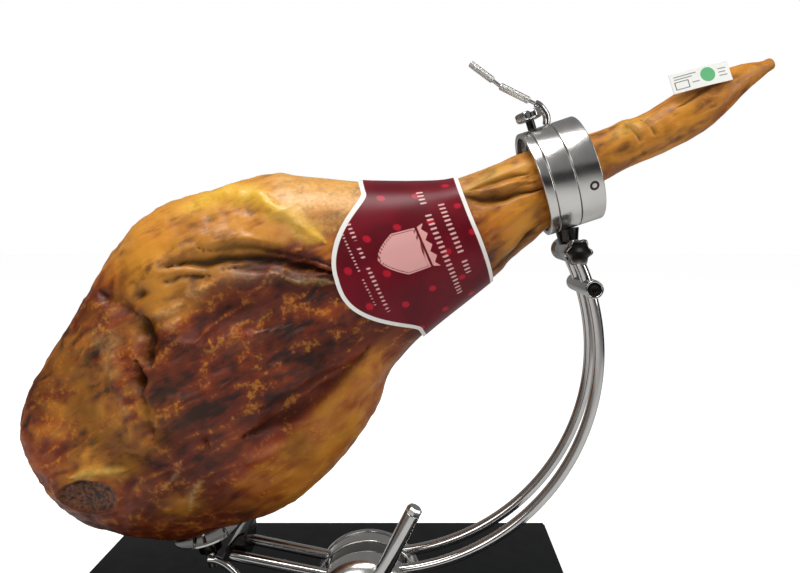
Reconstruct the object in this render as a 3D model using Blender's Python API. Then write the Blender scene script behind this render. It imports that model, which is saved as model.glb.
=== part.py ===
"""A whole cured ham held in its carving stand.

The leg rises from lower left to upper right. A spiked cup carries the thigh, and a steel collar
on two bent tubes holds the shank. The tubes run through a drum-shaped hub on a flat board.

Metres, +Z up, +X towards the foot, -Y towards the side that shows the hip bone.
The origin is the centre of the board's underside.
"""

from math import asin, cos, exp, hypot, pi, radians, sin, sqrt

import bmesh
import bpy
from mathutils import Matrix, Vector

# ------------------------------------------------------------------ driving sizes
GAP = 0.0003                     # left between pieces that touch

BOARD_WIDTH = 0.486
BOARD_DEPTH = 0.290
BOARD_THICK = 0.025
BOARD_EDGE = 0.0015

LEG_TILT = radians(30)           # the line of the leg above the board
LEG_SIDES = 34                   # faces round the leg
LEG_SQUARENESS = 2.25            # power of the section's outline, 2 is an ellipse
# Sections of the leg from the butt to the foot: distance along the line of the leg, height of
# the lower and upper edge off that line, and the thickness in front of and behind it.
LEG_SECTIONS = (
    (-0.1530, 0.2060, 0.2560, 0.016, 0.016),
    (-0.1480, 0.1880, 0.2740, 0.030, 0.032),
    (-0.1360, 0.1690, 0.2920, 0.042, 0.045),
    (-0.1180, 0.1480, 0.3070, 0.050, 0.054),
    (-0.0950, 0.1285, 0.3210, 0.056, 0.061),
    (-0.0600, 0.1105, 0.3370, 0.061, 0.067),
    (-0.0200, 0.1010, 0.3580, 0.064, 0.070),
    (0.0200, 0.0925, 0.3780, 0.065, 0.071),
    (0.0600, 0.0970, 0.3905, 0.064, 0.070),
    (0.1000, 0.1105, 0.3820, 0.062, 0.066),
    (0.1400, 0.1335, 0.3715, 0.058, 0.061),
    (0.1800, 0.1605, 0.3570, 0.054, 0.056),
    (0.2200, 0.1715, 0.3260, 0.049, 0.050),
    (0.2600, 0.1780, 0.3010, 0.044, 0.044),
    (0.3000, 0.1850, 0.2785, 0.040, 0.040),
    (0.3350, 0.1945, 0.2710, 0.035, 0.035),
    (0.3700, 0.2020, 0.2675, 0.030, 0.030),
    (0.4000, 0.2080, 0.2595, 0.026, 0.026),
    (0.4300, 0.2105, 0.2520, 0.023, 0.023),
    (0.4600, 0.2085, 0.2455, 0.022, 0.022),
    (0.4900, 0.2035, 0.2435, 0.022, 0.022),
    (0.5200, 0.2040, 0.2470, 0.022, 0.022),
    (0.5500, 0.2125, 0.2435, 0.018, 0.018),
    (0.5750, 0.2190, 0.2365, 0.012, 0.012),
    (0.5920, 0.2230, 0.2285, 0.005, 0.005),
)
LEG_STEPS = 29                   # rings of faces along the leg
LEG_END_BULGE = 0.004            # how far the middle of each end stands out

LABEL_CLEARANCE = 0.0010
LABEL_THICK = 0.0008
LABEL_FOOT_EDGE = (0.291, 0.309)         # along the leg, at its lower and upper edge
LABEL_BUTT_EDGE = (0.213, 0.233)
LABEL_TONGUE = 0.042                     # how far the tongue on the front reaches to the butt
TONGUE_MIDDLE = radians(188)             # its place round the leg, and its half width each way
TONGUE_UPPER = radians(60)
TONGUE_LOWER = radians(48)
LABEL_STEPS = 3

TAG_LENGTH = 0.050
TAG_WIDTH = 0.017
TAG_THICK = 0.0008
TAG_PLACE = (0.4990, 0.2455, -0.0215)    # its lower corner in the leg's frame
TAG_LEAN = radians(-14)
TAG_RISE = radians(14)

COLLAR_CENTRE = (0.219, 0.3955)          # X, and height above the board's top
COLLAR_TILT = radians(18.5)
COLLAR_RADIUS = 0.0464
COLLAR_WALL = 0.0040
COLLAR_BANDS = (("ring_left", 0.0085), ("ring_middle", 0.0190), ("ring_right", 0.0215))
COLLAR_LENGTH = sum(length for _, length in COLLAR_BANDS)
COLLAR_BEVEL = 0.0008
COLLAR_SIDES = 32
SET_SCREW_RADIUS = 0.0040
SET_SCREW_DEPTH = 0.0030
SET_SCREW_ROUND = radians(20)            # its place round the right ring, from the front
SET_SCREW_SHARE = 0.40                   # and its place along that ring, from the foot side

TUBE_RADIUS = 0.0050
TUBE_APART = 0.032                       # between the two tubes' centrelines
TUBE_SIDES = 10
ARC_RADIUS = 0.199
ARC_CENTRE = (0.056, 0.234)
ARC_TOP = radians(27.5)                  # where the arc ends, above the horizontal
ARM_SLOPE = 0.217                        # rise of the left arm to the left
ARM_JOIN = (0.004, 0.033)                # a point on the left arm
ARM_END = -0.078                         # X of its free end
ARM_STOP = 0.016                         # X inside the hub where the blend starts
ARC_START_X = 0.078                      # X inside the hub where the blend ends
BLEND_STEPS = 6
ARC_STEPS = 15

HUB_X = 0.046
HUB_RADIUS = 0.052
HUB_SIDES = 22
HUB_BEVEL = 0.0008
PLATE_SPAN = (0.0233, 0.0283)            # Y of the back plate
BAND_SPAN = (0.0070, 0.0230)             # Y of the satin band
HOUSING_SPAN = (-0.0100, 0.0067)
CAP_SPAN = (-0.0360, -0.0103)
CAP_NOSE_RADIUS = 0.034
CAP_RIM_DEPTH = 0.0115                   # straight rim behind the dome
CAP_RADIUS = HUB_RADIUS - 0.0012
CAP_STEPS = 4

LEVER_TILT = radians(26)
LEVER_LENGTH = 0.100
LEVER_RADIUS = 0.0070
LEVER_PIVOT_Z = 0.0160
LEVER_BOSS_RADIUS = 0.0150
LEVER_Y = -0.0455
LEVER_TIP_LENGTH = 0.0060

CLAMP_ANGLE = radians(19)                # its place on the arc
CLAMP_RADIUS = 0.0080
CLAMP_LENGTH = 0.070
CLAMP_BORE = 0.0060                      # round pocket for the clamp screw
CLAMP_BORE_DEPTH = 0.0050
CLAMP_SOCKET = 0.0030

HINGE_RADIUS = 0.0105
HINGE_LENGTH = 0.056
HINGE_ANGLE = radians(29)
HINGE_SHIFT = 0.002                      # how far the barrel stands back
HINGE_RIBS = 5
RIB_PITCH = 0.0034
RIB_DEPTH = 0.0014
NECK_RADII = (0.0105, 0.0080)            # at the collar and at the hinge
STAR_RADIUS = 0.0122
STAR_LOBES = 6
STAR_THICK = 0.0100
STAR_LOBE_DEPTH = 0.26
STAR_BEVEL = 0.0018
LOBE_STEPS = 6                           # corners of a knob for each lobe

KNOB_RADIUS = 0.0120
KNOB_THICK = 0.0080
KNOB_LOBES = 7
KNOB_LOBE_DEPTH = 0.16
KNOB_BEVEL = 0.0016
KNOB_LIFT = 0.0080                       # under side of the knob above the collar
STEM_RADIUS = 0.0038
STEM_ALONG = -0.0100                     # along the collar's axis from its middle

HANDLE_Y = 0.0100                        # the handle stands behind the lock knob
HANDLE_TAB_RADIUS = 0.0034
HANDLE_TAB_ALONG = 0.0052                # along the collar's axis from its middle
HANDLE_ROD_RADIUS = 0.0016
HANDLE_ROD_CLEAR = 0.0013                # a thin rod stops this short of the grip beside it
HANDLE_SIDES = 10
GRIP_INNER_RADIUS = 0.0033
GRIP_OUTER_RADIUS = 0.0031
# Bends of the tab and of the handle: X, and height above the board's top.
TAB_BENDS = ((0.2090, 0.4490), (0.2056, 0.4548), (0.2019, 0.4588), (0.1984, 0.4604))
HANDLE_BENDS = (
    (0.1984, 0.4604),
    (0.1932, 0.4628),
    (0.1671, 0.4754),
    (0.1609, 0.4801),
    (0.1405, 0.4948),
)

CUP_CENTRE = (-0.105, 0.0, 0.0655)       # height above the board's top
CUP_RADIUS = 0.0290
CUP_DEPTH = 0.0065
CUP_TILT = radians(-10)
CUP_WALL = 0.0016
SOCKET_RADIUS = 0.0105
SOCKET_LENGTH = 0.0100
POST_RADIUS = 0.0055
POST_LENGTH = 0.0160
SPIKE_RADIUS = 0.0017
SPIKE_LENGTH = 0.0120
SPIKE_CIRCLE = 0.0150
SPIKE_ANGLES = (70, 190, 310)            # degrees round the dish
HOLE_RUN_OUT = 0.004                     # the holes' cutters start this far below the meat
STRUT_RADIUS = 0.0034
STRUT_Y = -0.0252
# Bends of the strut and corners of the block: X, and height above the board's top.
STRUT_BENDS = (
    (-0.0960, 0.0520),
    (-0.0885, 0.0510),
    (-0.0800, 0.0465),
    (-0.0720, 0.0385),
    (-0.0660, 0.0290),
)
BLOCK_CORNERS = (
    (-0.090, 0.0415),
    (-0.066, 0.0385),
    (-0.065, 0.0690),
    (-0.073, 0.0670),
    (-0.084, 0.0540),
)
BLOCK_SPAN = (-0.0105, 0.0270)           # Y of the block
BLOCK_BEVEL = 0.0015
DISH_STEPS = 4
DISH_SIDES = 22

# Base colour, roughness and metallic value of each finish.
FINISHES = {
    "cured_meat": ((0.33, 0.11, 0.020), 0.45, 0.0),
    "label_paper": ((0.16, 0.010, 0.030), 0.25, 0.0),
    "tag_card": ((0.80, 0.80, 0.78), 0.5, 0.0),
    "black_board": ((0.012, 0.013, 0.016), 0.45, 0.0),
    "polished_steel": ((0.60, 0.59, 0.58), 0.14, 1.0),
    "brushed_steel": ((0.58, 0.57, 0.56), 0.30, 1.0),
    "dark_steel": ((0.10, 0.10, 0.10), 0.25, 1.0),
}


# ------------------------------------------------------------------ scene and finishes
def clear_scene():
    for item in list(bpy.data.objects):
        bpy.data.objects.remove(item, do_unlink=True)


def finish(name):
    material = bpy.data.materials.get(name)
    if material is None:
        colour, roughness, metallic = FINISHES[name]
        material = bpy.data.materials.new(name)
        material.use_nodes = True
        shader = material.node_tree.nodes["Principled BSDF"]
        shader.inputs["Base Color"].default_value = (*colour, 1.0)
        shader.inputs["Roughness"].default_value = roughness
        shader.inputs["Metallic"].default_value = metallic
    return material


def add_object(name, mesh_data, finish_name, placed=None, smooth=40):
    """Turn a bmesh into a named object, placed in the world by a matrix."""
    bmesh.ops.recalc_face_normals(mesh_data, faces=mesh_data.faces)
    mesh = bpy.data.meshes.new(name)
    mesh_data.to_mesh(mesh)
    mesh_data.free()
    mesh.shade_smooth()
    mesh.set_sharp_from_angle(angle=radians(smooth))
    made = bpy.data.objects.new(name, mesh)
    bpy.context.scene.collection.objects.link(made)
    if placed is not None:
        made.matrix_world = placed
    made.data.materials.append(finish(finish_name))
    return made


def as_cutter(item):
    item.hide_render = True
    item.display_type = "WIRE"
    return item


def boolean(item, other, operation="DIFFERENCE"):
    step = item.modifiers.new(other.name, "BOOLEAN")
    step.operation = operation
    step.solver = "EXACT"
    step.object = other


# ------------------------------------------------------------------ places and shapes
def above_board(x, z, y=0.0):
    return Vector((x, y, z + BOARD_THICK))


def turned_frame(origin, axis, side=None):
    """A frame at origin whose Z runs along axis and whose X is as near side as it can be."""
    along = Vector(axis).normalized()
    if side is None:
        side = Vector((1, 0, 0)) if abs(along.y) > 0.9 else Vector((0, 1, 0))
    across = (side - along * side.dot(along)).normalized()
    third = along.cross(across)
    turn = Matrix((across, third, along)).transposed()
    return Matrix.Translation(origin) @ turn.to_4x4()


def turned(profile, sides, whole=True, hollow=False):
    """Spin a profile of (radius, height) about Z, through a full or a half turn."""
    shape = bmesh.new()
    steps = sides if whole else sides + 1
    span = 2 * pi if whole else pi
    rings = []
    axis_points = {}
    for step in range(steps):
        angle = span * step / sides
        ring = []
        for index, (radius, height) in enumerate(profile):
            if radius == 0.0:
                if index not in axis_points:
                    axis_points[index] = shape.verts.new((0, 0, height))
                ring.append(axis_points[index])
            else:
                place = (radius * cos(angle), radius * sin(angle), height)
                ring.append(shape.verts.new(place))
        rings.append(ring)
    edges = len(profile) if hollow else len(profile) - 1
    for step in range(sides):
        here = rings[step]
        following = rings[(step + 1) % steps]
        for index in range(edges):
            after = (index + 1) % len(profile)
            corners = [here[index], here[after], following[after], following[index]]
            corners = list(dict.fromkeys(corners))
            if len(corners) > 2:
                shape.faces.new(corners)
    if not whole:
        shape.faces.new(rings[0])
        shape.faces.new(rings[-1])
    return shape


def rod_profile(radius, length, bevel):
    return (
        (0.0, 0.0),
        (radius - bevel, 0.0),
        (radius, bevel),
        (radius, length - bevel),
        (radius - bevel, length),
        (0.0, length),
    )


def swept(points, radius, sides=TUBE_SIDES, side=Vector((0, 1, 0))):
    """A round bar along points that lie in one plane square to side."""
    shape = bmesh.new()
    rings = []
    for index, point in enumerate(points):
        before = points[max(index - 1, 0)]
        after = points[min(index + 1, len(points) - 1)]
        along = (after - before).normalized()
        across = along.cross(side).normalized()
        ring = []
        for step in range(sides):
            angle = 2 * pi * step / sides
            place = point + radius * (cos(angle) * across + sin(angle) * side)
            ring.append(shape.verts.new(place))
        rings.append(ring)
    for here, following in zip(rings, rings[1:]):
        for step in range(sides):
            after = (step + 1) % sides
            shape.faces.new((here[step], here[after], following[after], following[step]))
    shape.faces.new(rings[0])
    shape.faces.new(rings[-1])
    return shape


def block(low, high, bevel):
    """A box between two corners, with bevelled edges."""
    shape = bmesh.new()
    bmesh.ops.create_cube(shape, size=1.0)
    size = Vector(high) - Vector(low)
    middle = (Vector(high) + Vector(low)) / 2
    bmesh.ops.scale(shape, vec=size, verts=shape.verts)
    bmesh.ops.translate(shape, vec=middle, verts=shape.verts)
    if bevel:
        bmesh.ops.bevel(
            shape, geom=shape.edges[:], offset=bevel, segments=1, affect="EDGES"
        )
    return shape


# ------------------------------------------------------------------ the leg
def smooth_value(column, along):
    """A smooth curve through one column of the leg's sections."""
    rows = LEG_SECTIONS
    if along <= rows[0][0]:
        return rows[0][column]
    if along >= rows[-1][0]:
        return rows[-1][column]
    index = max(i for i in range(len(rows) - 1) if rows[i][0] <= along)

    def slope(i):
        before = rows[max(i - 1, 0)]
        after = rows[min(i + 1, len(rows) - 1)]
        return (after[column] - before[column]) / (after[0] - before[0])

    start, end = rows[index], rows[index + 1]
    span = end[0] - start[0]
    u = (along - start[0]) / span
    return (
        (2 * u**3 - 3 * u**2 + 1) * start[column]
        + (u**3 - 2 * u**2 + u) * span * slope(index)
        + (3 * u**2 - 2 * u**3) * end[column]
        + (u**3 - u**2) * span * slope(index + 1)
    )


def from_leg(along, off, depth):
    """A world point from the leg's own frame."""
    x = along * cos(LEG_TILT) - off * sin(LEG_TILT)
    z = along * sin(LEG_TILT) + off * cos(LEG_TILT)
    return above_board(x, z, depth)


# Folds and hollows of the side that shows: where each runs in the leg's frame (along, off),
# its half width, and how far it goes in, with swellings negative.
RELIEF_ONSET = 1.6               # how fast the folds fade in from the edges of that side
LEG_RELIEF = (
    (((-0.040, 0.290), (-0.058, 0.245), (-0.062, 0.185)), 0.014, 0.007),
    (((-0.085, 0.290), (-0.100, 0.230), (-0.100, 0.190)), 0.026, 0.006),
    (((0.020, 0.300), (0.080, 0.285), (0.150, 0.250)), 0.012, 0.005),
    (((0.050, 0.345), (0.095, 0.325), (0.125, 0.310)), 0.016, -0.004),
    (((-0.010, 0.250), (0.040, 0.200), (0.080, 0.150)), 0.035, -0.004),
    (((0.110, 0.215), (0.080, 0.180), (0.060, 0.150)), 0.014, 0.004),
    (((0.300, 0.252), (0.345, 0.247), (0.360, 0.245)), 0.008, 0.003),
)


def distance_to_run(along, off, run):
    """Distance from a point to a line of straight stretches."""
    nearest = 1.0
    for (a0, o0), (a1, o1) in zip(run, run[1:]):
        da, do = a1 - a0, o1 - o0
        share = ((along - a0) * da + (off - o0) * do) / (da * da + do * do)
        share = min(max(share, 0.0), 1.0)
        nearest = min(nearest, hypot(along - a0 - share * da, off - o0 - share * do))
    return nearest


def relief(along, off):
    depth = 0.0
    for run, width, amount in LEG_RELIEF:
        fall = distance_to_run(along, off, run) / width
        depth += amount * exp(-fall * fall)
    return depth


def leg_point(along, angle, lift=0.0, folds=True):
    """A point of the leg's skin: angle 0 is the back, 90 degrees the top, 180 the front."""
    low, high, front, back = (smooth_value(column, along) for column in (1, 2, 3, 4))
    power = 2 / LEG_SQUARENESS
    across, up = cos(angle), sin(angle)
    half_depth = (back if across > 0 else front) + lift
    half_height = (high - low) / 2 + lift
    depth = half_depth * abs(across) ** power * (1 if across > 0 else -1)
    off = (low + high) / 2 + half_height * abs(up) ** power * (1 if up > 0 else -1)
    if folds and across < 0:
        depth += relief(along, off) * min(1.0, -across * RELIEF_ONSET)
    return from_leg(along, off, depth)


def ring_places():
    """Distances along the leg for its rings, closer together at both ends."""
    start, end = LEG_SECTIONS[0][0], LEG_SECTIONS[-1][0]
    middle, half = (start + end) / 2, (end - start) / 2
    crowding = 0.45
    places = []
    for step in range(LEG_STEPS + 1):
        even = 2 * step / LEG_STEPS - 1
        places.append(middle + half * ((1 - crowding) * even + crowding * sin(even * pi / 2)))
    return places


def make_ham():
    shape = bmesh.new()
    rings = []
    for along in ring_places():
        ring = []
        for side in range(LEG_SIDES):
            angle = 2 * pi * (side + 0.5) / LEG_SIDES
            ring.append(shape.verts.new(leg_point(along, angle)))
        rings.append(ring)
    for here, following in zip(rings, rings[1:]):
        for side in range(LEG_SIDES):
            after = (side + 1) % LEG_SIDES
            shape.faces.new((here[side], here[after], following[after], following[side]))
    for ring, bulge in ((rings[0], -LEG_END_BULGE), (rings[-1], LEG_END_BULGE)):
        middle = sum((corner.co for corner in ring), Vector()) / len(ring)
        along = Vector((cos(LEG_TILT), 0, sin(LEG_TILT)))
        tip = shape.verts.new(middle + along * bulge)
        for side in range(LEG_SIDES):
            shape.faces.new((ring[side], ring[(side + 1) % LEG_SIDES], tip))
    return add_object("ham", shape, "cured_meat", smooth=80)


def label_edges(angle):
    """Where the label starts and ends along the leg, at one angle round it."""
    up = (sin(angle) + 1) / 2
    foot = LABEL_FOOT_EDGE[0] + (LABEL_FOOT_EDGE[1] - LABEL_FOOT_EDGE[0]) * up
    butt = LABEL_BUTT_EDGE[0] + (LABEL_BUTT_EDGE[1] - LABEL_BUTT_EDGE[0]) * up
    turn = angle - TONGUE_MIDDLE
    share = min(abs(turn) / (TONGUE_UPPER if turn < 0 else TONGUE_LOWER), 1.0)
    return butt - LABEL_TONGUE * cos(share * pi / 2) ** 2, foot


def make_label():
    shape = bmesh.new()
    rings = []
    for side in range(LEG_SIDES):
        angle = 2 * pi * (side + 0.5) / LEG_SIDES
        start, end = label_edges(angle)
        ring = []
        for step in range(LABEL_STEPS + 1):
            along = start + (end - start) * step / LABEL_STEPS
            place = leg_point(along, angle, LABEL_CLEARANCE, folds=False)
            ring.append(shape.verts.new(place))
        for step in reversed(range(LABEL_STEPS + 1)):
            along = start + (end - start) * step / LABEL_STEPS
            lift = LABEL_CLEARANCE + LABEL_THICK
            ring.append(shape.verts.new(leg_point(along, angle, lift, folds=False)))
        rings.append(ring)
    around = len(rings[0])
    for side in range(LEG_SIDES):
        here, following = rings[side], rings[(side + 1) % LEG_SIDES]
        for step in range(around):
            after = (step + 1) % around
            shape.faces.new((here[step], here[after], following[after], following[step]))
    return add_object("label_band", shape, "label_paper", smooth=60)


def make_foot_tag():
    """A small card that lies along the upper front of the foot."""
    base = from_leg(*TAG_PLACE)
    shape = block((0, -TAG_THICK / 2, 0), (TAG_LENGTH, TAG_THICK / 2, TAG_WIDTH), 0)
    lean = Matrix.Rotation(TAG_LEAN, 4, "X")
    rise = Matrix.Rotation(-TAG_RISE, 4, "Y")
    return add_object("foot_tag", shape, "tag_card", Matrix.Translation(base) @ rise @ lean)


# ------------------------------------------------------------------ board and hub
def make_board():
    half = (BOARD_WIDTH / 2, BOARD_DEPTH / 2)
    shape = block((-half[0], -half[1], 0), (half[0], half[1], BOARD_THICK), BOARD_EDGE)
    return add_object("base_board", shape, "black_board")


def half_drum(name, profile, finish_name):
    """A half drum on the board, from a profile of (radius, distance towards the front)."""
    shape = turned(profile, HUB_SIDES, whole=False)
    frame = turned_frame(above_board(HUB_X, GAP), (0, -1, 0), side=Vector((1, 0, 0)))
    return add_object(name, shape, finish_name, frame)


def drum_profile(span, radius, bevel=HUB_BEVEL):
    back, front = -span[1], -span[0]
    return (
        (0.0, back),
        (radius - bevel, back),
        (radius, back + bevel),
        (radius, front - bevel),
        (radius - bevel, front),
        (0.0, front),
    )


def cap_profile():
    """The front cap: a short rim, then a dome down to a flat nose."""
    back, front = -CAP_SPAN[1], -CAP_SPAN[0]
    rim = back + CAP_RIM_DEPTH
    rows = [(0.0, back), (CAP_RADIUS - HUB_BEVEL, back), (CAP_RADIUS, back + HUB_BEVEL)]
    for step in range(CAP_STEPS + 1):
        angle = pi / 2 * step / CAP_STEPS
        radius = CAP_NOSE_RADIUS + (CAP_RADIUS - CAP_NOSE_RADIUS) * cos(angle)
        rows.append((radius, rim + (front - rim) * sin(angle)))
    rows.append((0.0, front))
    return rows


def arc_point(angle, y=0.0):
    """A point on the tubes' arc, by its angle above the horizontal."""
    x = ARC_CENTRE[0] + ARC_RADIUS * cos(angle)
    z = ARC_CENTRE[1] + ARC_RADIUS * sin(angle)
    return above_board(x, z, y)


def tube_route(start_extra=0.0, end_extra=0.0):
    """The centreline of a tube: straight arm, blend inside the hub, then the arc."""
    points = []
    join_x, join_z = ARM_JOIN
    for x in (ARM_END - start_extra, (ARM_END + ARM_STOP) / 2, ARM_STOP):
        points.append(above_board(x, join_z - ARM_SLOPE * (x - join_x)))
    arc_start = asin((ARC_START_X - ARC_CENTRE[0]) / ARC_RADIUS) - pi / 2
    first = points[-1]
    heading = Vector((1, 0, -ARM_SLOPE)).normalized()
    last = arc_point(arc_start)
    leaving = Vector((-sin(arc_start), 0, cos(arc_start)))
    reach = (last - first).length
    for step in range(1, BLEND_STEPS):
        u = step / BLEND_STEPS
        points.append(
            first * (2 * u**3 - 3 * u**2 + 1)
            + heading * reach * (u**3 - 2 * u**2 + u)
            + last * (3 * u**2 - 2 * u**3)
            + leaving * reach * (u**3 - u**2)
        )
    arc_end = ARC_TOP + end_extra / ARC_RADIUS
    for step in range(ARC_STEPS + 1):
        points.append(arc_point(arc_start + (arc_end - arc_start) * step / ARC_STEPS))
    return points


def make_tubes():
    """The two tubes, and a slightly wider cutter for the pieces that they pass through."""
    cutters = []
    for name, y in (("tube_front", -TUBE_APART / 2), ("tube_back", TUBE_APART / 2)):
        shift = Vector((0, y, 0))
        route = [point + shift for point in tube_route()]
        add_object(name, swept(route, TUBE_RADIUS), "polished_steel")
        wide = [point + shift for point in tube_route(0.002, GAP)]
        hole = add_object(name + "_hole", swept(wide, TUBE_RADIUS + GAP), "dark_steel")
        cutters.append(as_cutter(hole))
    return cutters


def make_hub(tube_holes):
    front_hole, back_hole = tube_holes
    half_drum("hub_back_plate", drum_profile(PLATE_SPAN, HUB_RADIUS + 0.0008), "polished_steel")
    band = half_drum("hub_band", drum_profile(BAND_SPAN, HUB_RADIUS), "brushed_steel")
    boolean(band, back_hole)
    half_drum("hub_housing", drum_profile(HOUSING_SPAN, HUB_RADIUS - 0.0012), "dark_steel")
    cap = half_drum("hub_front_cap", cap_profile(), "brushed_steel")
    boolean(cap, front_hole)


def make_lever():
    """The hub's hand lever: a round bar on a flat boss, with a bevelled tip."""
    pivot = above_board(HUB_X, LEVER_PIVOT_Z, CAP_SPAN[0] - GAP)
    hinge = bpy.data.objects.new("lever_axis", None)
    bpy.context.scene.collection.objects.link(hinge)
    hinge.location = pivot
    boss_length = pivot.y - LEVER_Y + LEVER_RADIUS
    boss_frame = turned_frame(Vector((0, 0, 0)), (0, -1, 0))
    boss_shape = turned(rod_profile(LEVER_BOSS_RADIUS, boss_length, 0.001), 20)
    boss = add_object("lever_boss_shape", boss_shape, "polished_steel")
    boss.parent = hinge
    boss.matrix_local = boss_frame
    as_cutter(boss)
    aim = Vector((sin(LEVER_TILT), 0, cos(LEVER_TILT)))
    bar_start = Vector((0, LEVER_Y - pivot.y, 0))
    bar_shape = turned(rod_profile(LEVER_RADIUS, LEVER_LENGTH, 0.0006), 16)
    bar = add_object("hub_lever", bar_shape, "polished_steel")
    bar.parent = hinge
    bar.matrix_local = turned_frame(bar_start, aim)
    boolean(bar, boss, "UNION")
    tip_profile = (
        (0.0, 0.0),
        (LEVER_RADIUS - 0.0006, 0.0),
        (LEVER_RADIUS, 0.0008),
        (LEVER_RADIUS, LEVER_TIP_LENGTH - 0.0016),
        (LEVER_RADIUS - 0.0016, LEVER_TIP_LENGTH),
        (0.0, LEVER_TIP_LENGTH),
    )
    tip = add_object("lever_tip", turned(tip_profile, 8), "brushed_steel")
    tip.parent = hinge
    tip.matrix_local = turned_frame(bar_start + aim * (LEVER_LENGTH + GAP), aim)


# ------------------------------------------------------------------ arc fittings
def socket_screw(radius, length, socket):
    """A round screw head with a blind socket in its outer end."""
    return turned(
        (
            (0.0, 0.0),
            (radius, 0.0),
            (radius, length - 0.0004),
            (radius - 0.0004, length),
            (socket, length),
            (socket, length * 0.45),
            (0.0, length * 0.45),
        ),
        18,
    )


def make_height_clamp(tube_holes):
    start = arc_point(CLAMP_ANGLE, CLAMP_LENGTH / 2)
    frame = turned_frame(start, (0, -1, 0))
    profile = (
        (0.0, 0.0),
        (CLAMP_RADIUS - 0.001, 0.0),
        (CLAMP_RADIUS, 0.001),
        (CLAMP_RADIUS, CLAMP_LENGTH - 0.001),
        (CLAMP_RADIUS - 0.001, CLAMP_LENGTH),
        (CLAMP_BORE, CLAMP_LENGTH),
        (CLAMP_BORE, CLAMP_LENGTH - CLAMP_BORE_DEPTH),
        (0.0, CLAMP_LENGTH - CLAMP_BORE_DEPTH),
    )
    clamp = add_object("height_clamp", turned(profile, 18), "polished_steel", frame)
    for hole in tube_holes:
        boolean(clamp, hole)
    seat = arc_point(CLAMP_ANGLE, -CLAMP_LENGTH / 2 + CLAMP_BORE_DEPTH - GAP)
    screw = socket_screw(CLAMP_BORE - GAP, CLAMP_BORE_DEPTH - 0.001, CLAMP_SOCKET)
    add_object("clamp_screw", screw, "dark_steel", turned_frame(seat, (0, -1, 0)))


def ribbed_profile():
    """The hinge barrel: a bar with a row of rounded grooves over its back part."""
    bevel = 0.001
    rows = [(0.0, 0.0), (HINGE_RADIUS - bevel, 0.0)]
    for rib in range(HINGE_RIBS):
        start = bevel + rib * RIB_PITCH
        rows.append((HINGE_RADIUS, start + RIB_PITCH * 0.1))
        rows.append((HINGE_RADIUS - RIB_DEPTH, start + RIB_PITCH * 0.6))
    rows.append((HINGE_RADIUS, bevel + HINGE_RIBS * RIB_PITCH))
    rows.append((HINGE_RADIUS, HINGE_LENGTH - bevel))
    rows.append((HINGE_RADIUS - bevel, HINGE_LENGTH))
    rows.append((0.0, HINGE_LENGTH))
    return rows


def make_clearance(name, radius, sides, frame):
    """A long round cutter, centred on a frame, that keeps a gap round another piece."""
    length = 0.08
    shape = turned(rod_profile(radius + GAP, length, 0.0), sides)
    placed = frame @ Matrix.Translation((0, 0, -length / 2))
    return as_cutter(add_object(name, shape, "dark_steel", placed))


def make_hinge(tube_holes):
    centre = arc_point(HINGE_ANGLE)
    start = centre + Vector((0, HINGE_LENGTH / 2 + HINGE_SHIFT, 0))
    frame = turned_frame(start, (0, -1, 0))
    barrel = add_object("hinge_barrel", turned(ribbed_profile(), 16), "polished_steel", frame)
    for hole in tube_holes:
        boolean(barrel, hole)

    collar = collar_frame()
    middle_ring = -COLLAR_LENGTH / 2 + COLLAR_BANDS[0][1] + COLLAR_BANDS[1][1] / 2
    foot_of_neck = collar @ Vector((0, COLLAR_RADIUS - 0.003, middle_ring))
    aim = centre - foot_of_neck
    neck_profile = (
        (0.0, 0.0),
        (NECK_RADII[0], 0.0),
        (NECK_RADII[1], aim.length),
        (0.0, aim.length),
    )
    neck_frame = turned_frame(foot_of_neck, aim)
    neck = add_object("ring_neck", turned(neck_profile, 20), "dark_steel", neck_frame)
    boolean(neck, make_clearance("collar_clearance", COLLAR_RADIUS, 60, collar))
    across = turned_frame(centre, (0, -1, 0))
    boolean(neck, make_clearance("barrel_clearance", HINGE_RADIUS, 28, across))


def lobed(radius, lobes, depth, thick, bevel):
    """A knob whose rim has rounded lobes, standing on Z = 0."""
    shape = bmesh.new()
    rings = []
    steps = lobes * LOBE_STEPS
    rows = ((0.72, 0.0), (1.0, bevel), (1.0, thick - bevel), (0.86, thick))
    for share, height in rows:
        ring = []
        for step in range(steps):
            angle = 2 * pi * step / steps
            reach = radius * share * (1 - depth * (1 - cos(lobes * angle)) / 2)
            ring.append(shape.verts.new((reach * cos(angle), reach * sin(angle), height)))
        rings.append(ring)
    for here, following in zip(rings, rings[1:]):
        for step in range(steps):
            after = (step + 1) % steps
            shape.faces.new((here[step], here[after], following[after], following[step]))
    shape.faces.new(rings[0])
    shape.faces.new(rings[-1])
    return shape


def make_star_knob():
    centre = arc_point(HINGE_ANGLE, -HINGE_LENGTH / 2 + HINGE_SHIFT - GAP)
    shape = lobed(STAR_RADIUS, STAR_LOBES, STAR_LOBE_DEPTH, STAR_THICK, STAR_BEVEL)
    add_object("star_knob", shape, "dark_steel", turned_frame(centre, (0, -1, 0)))


# ------------------------------------------------------------------ collar
def collar_frame():
    """The collar's frame: Z runs along its axis to the foot, Y points down to the hinge."""
    axis = Vector((cos(COLLAR_TILT), 0, sin(COLLAR_TILT)))
    down = Vector((sin(COLLAR_TILT), 0, -cos(COLLAR_TILT)))
    depth = down.cross(axis)
    turn = Matrix((depth, down, axis)).transposed().to_4x4()
    return Matrix.Translation(above_board(*COLLAR_CENTRE)) @ turn


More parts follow.
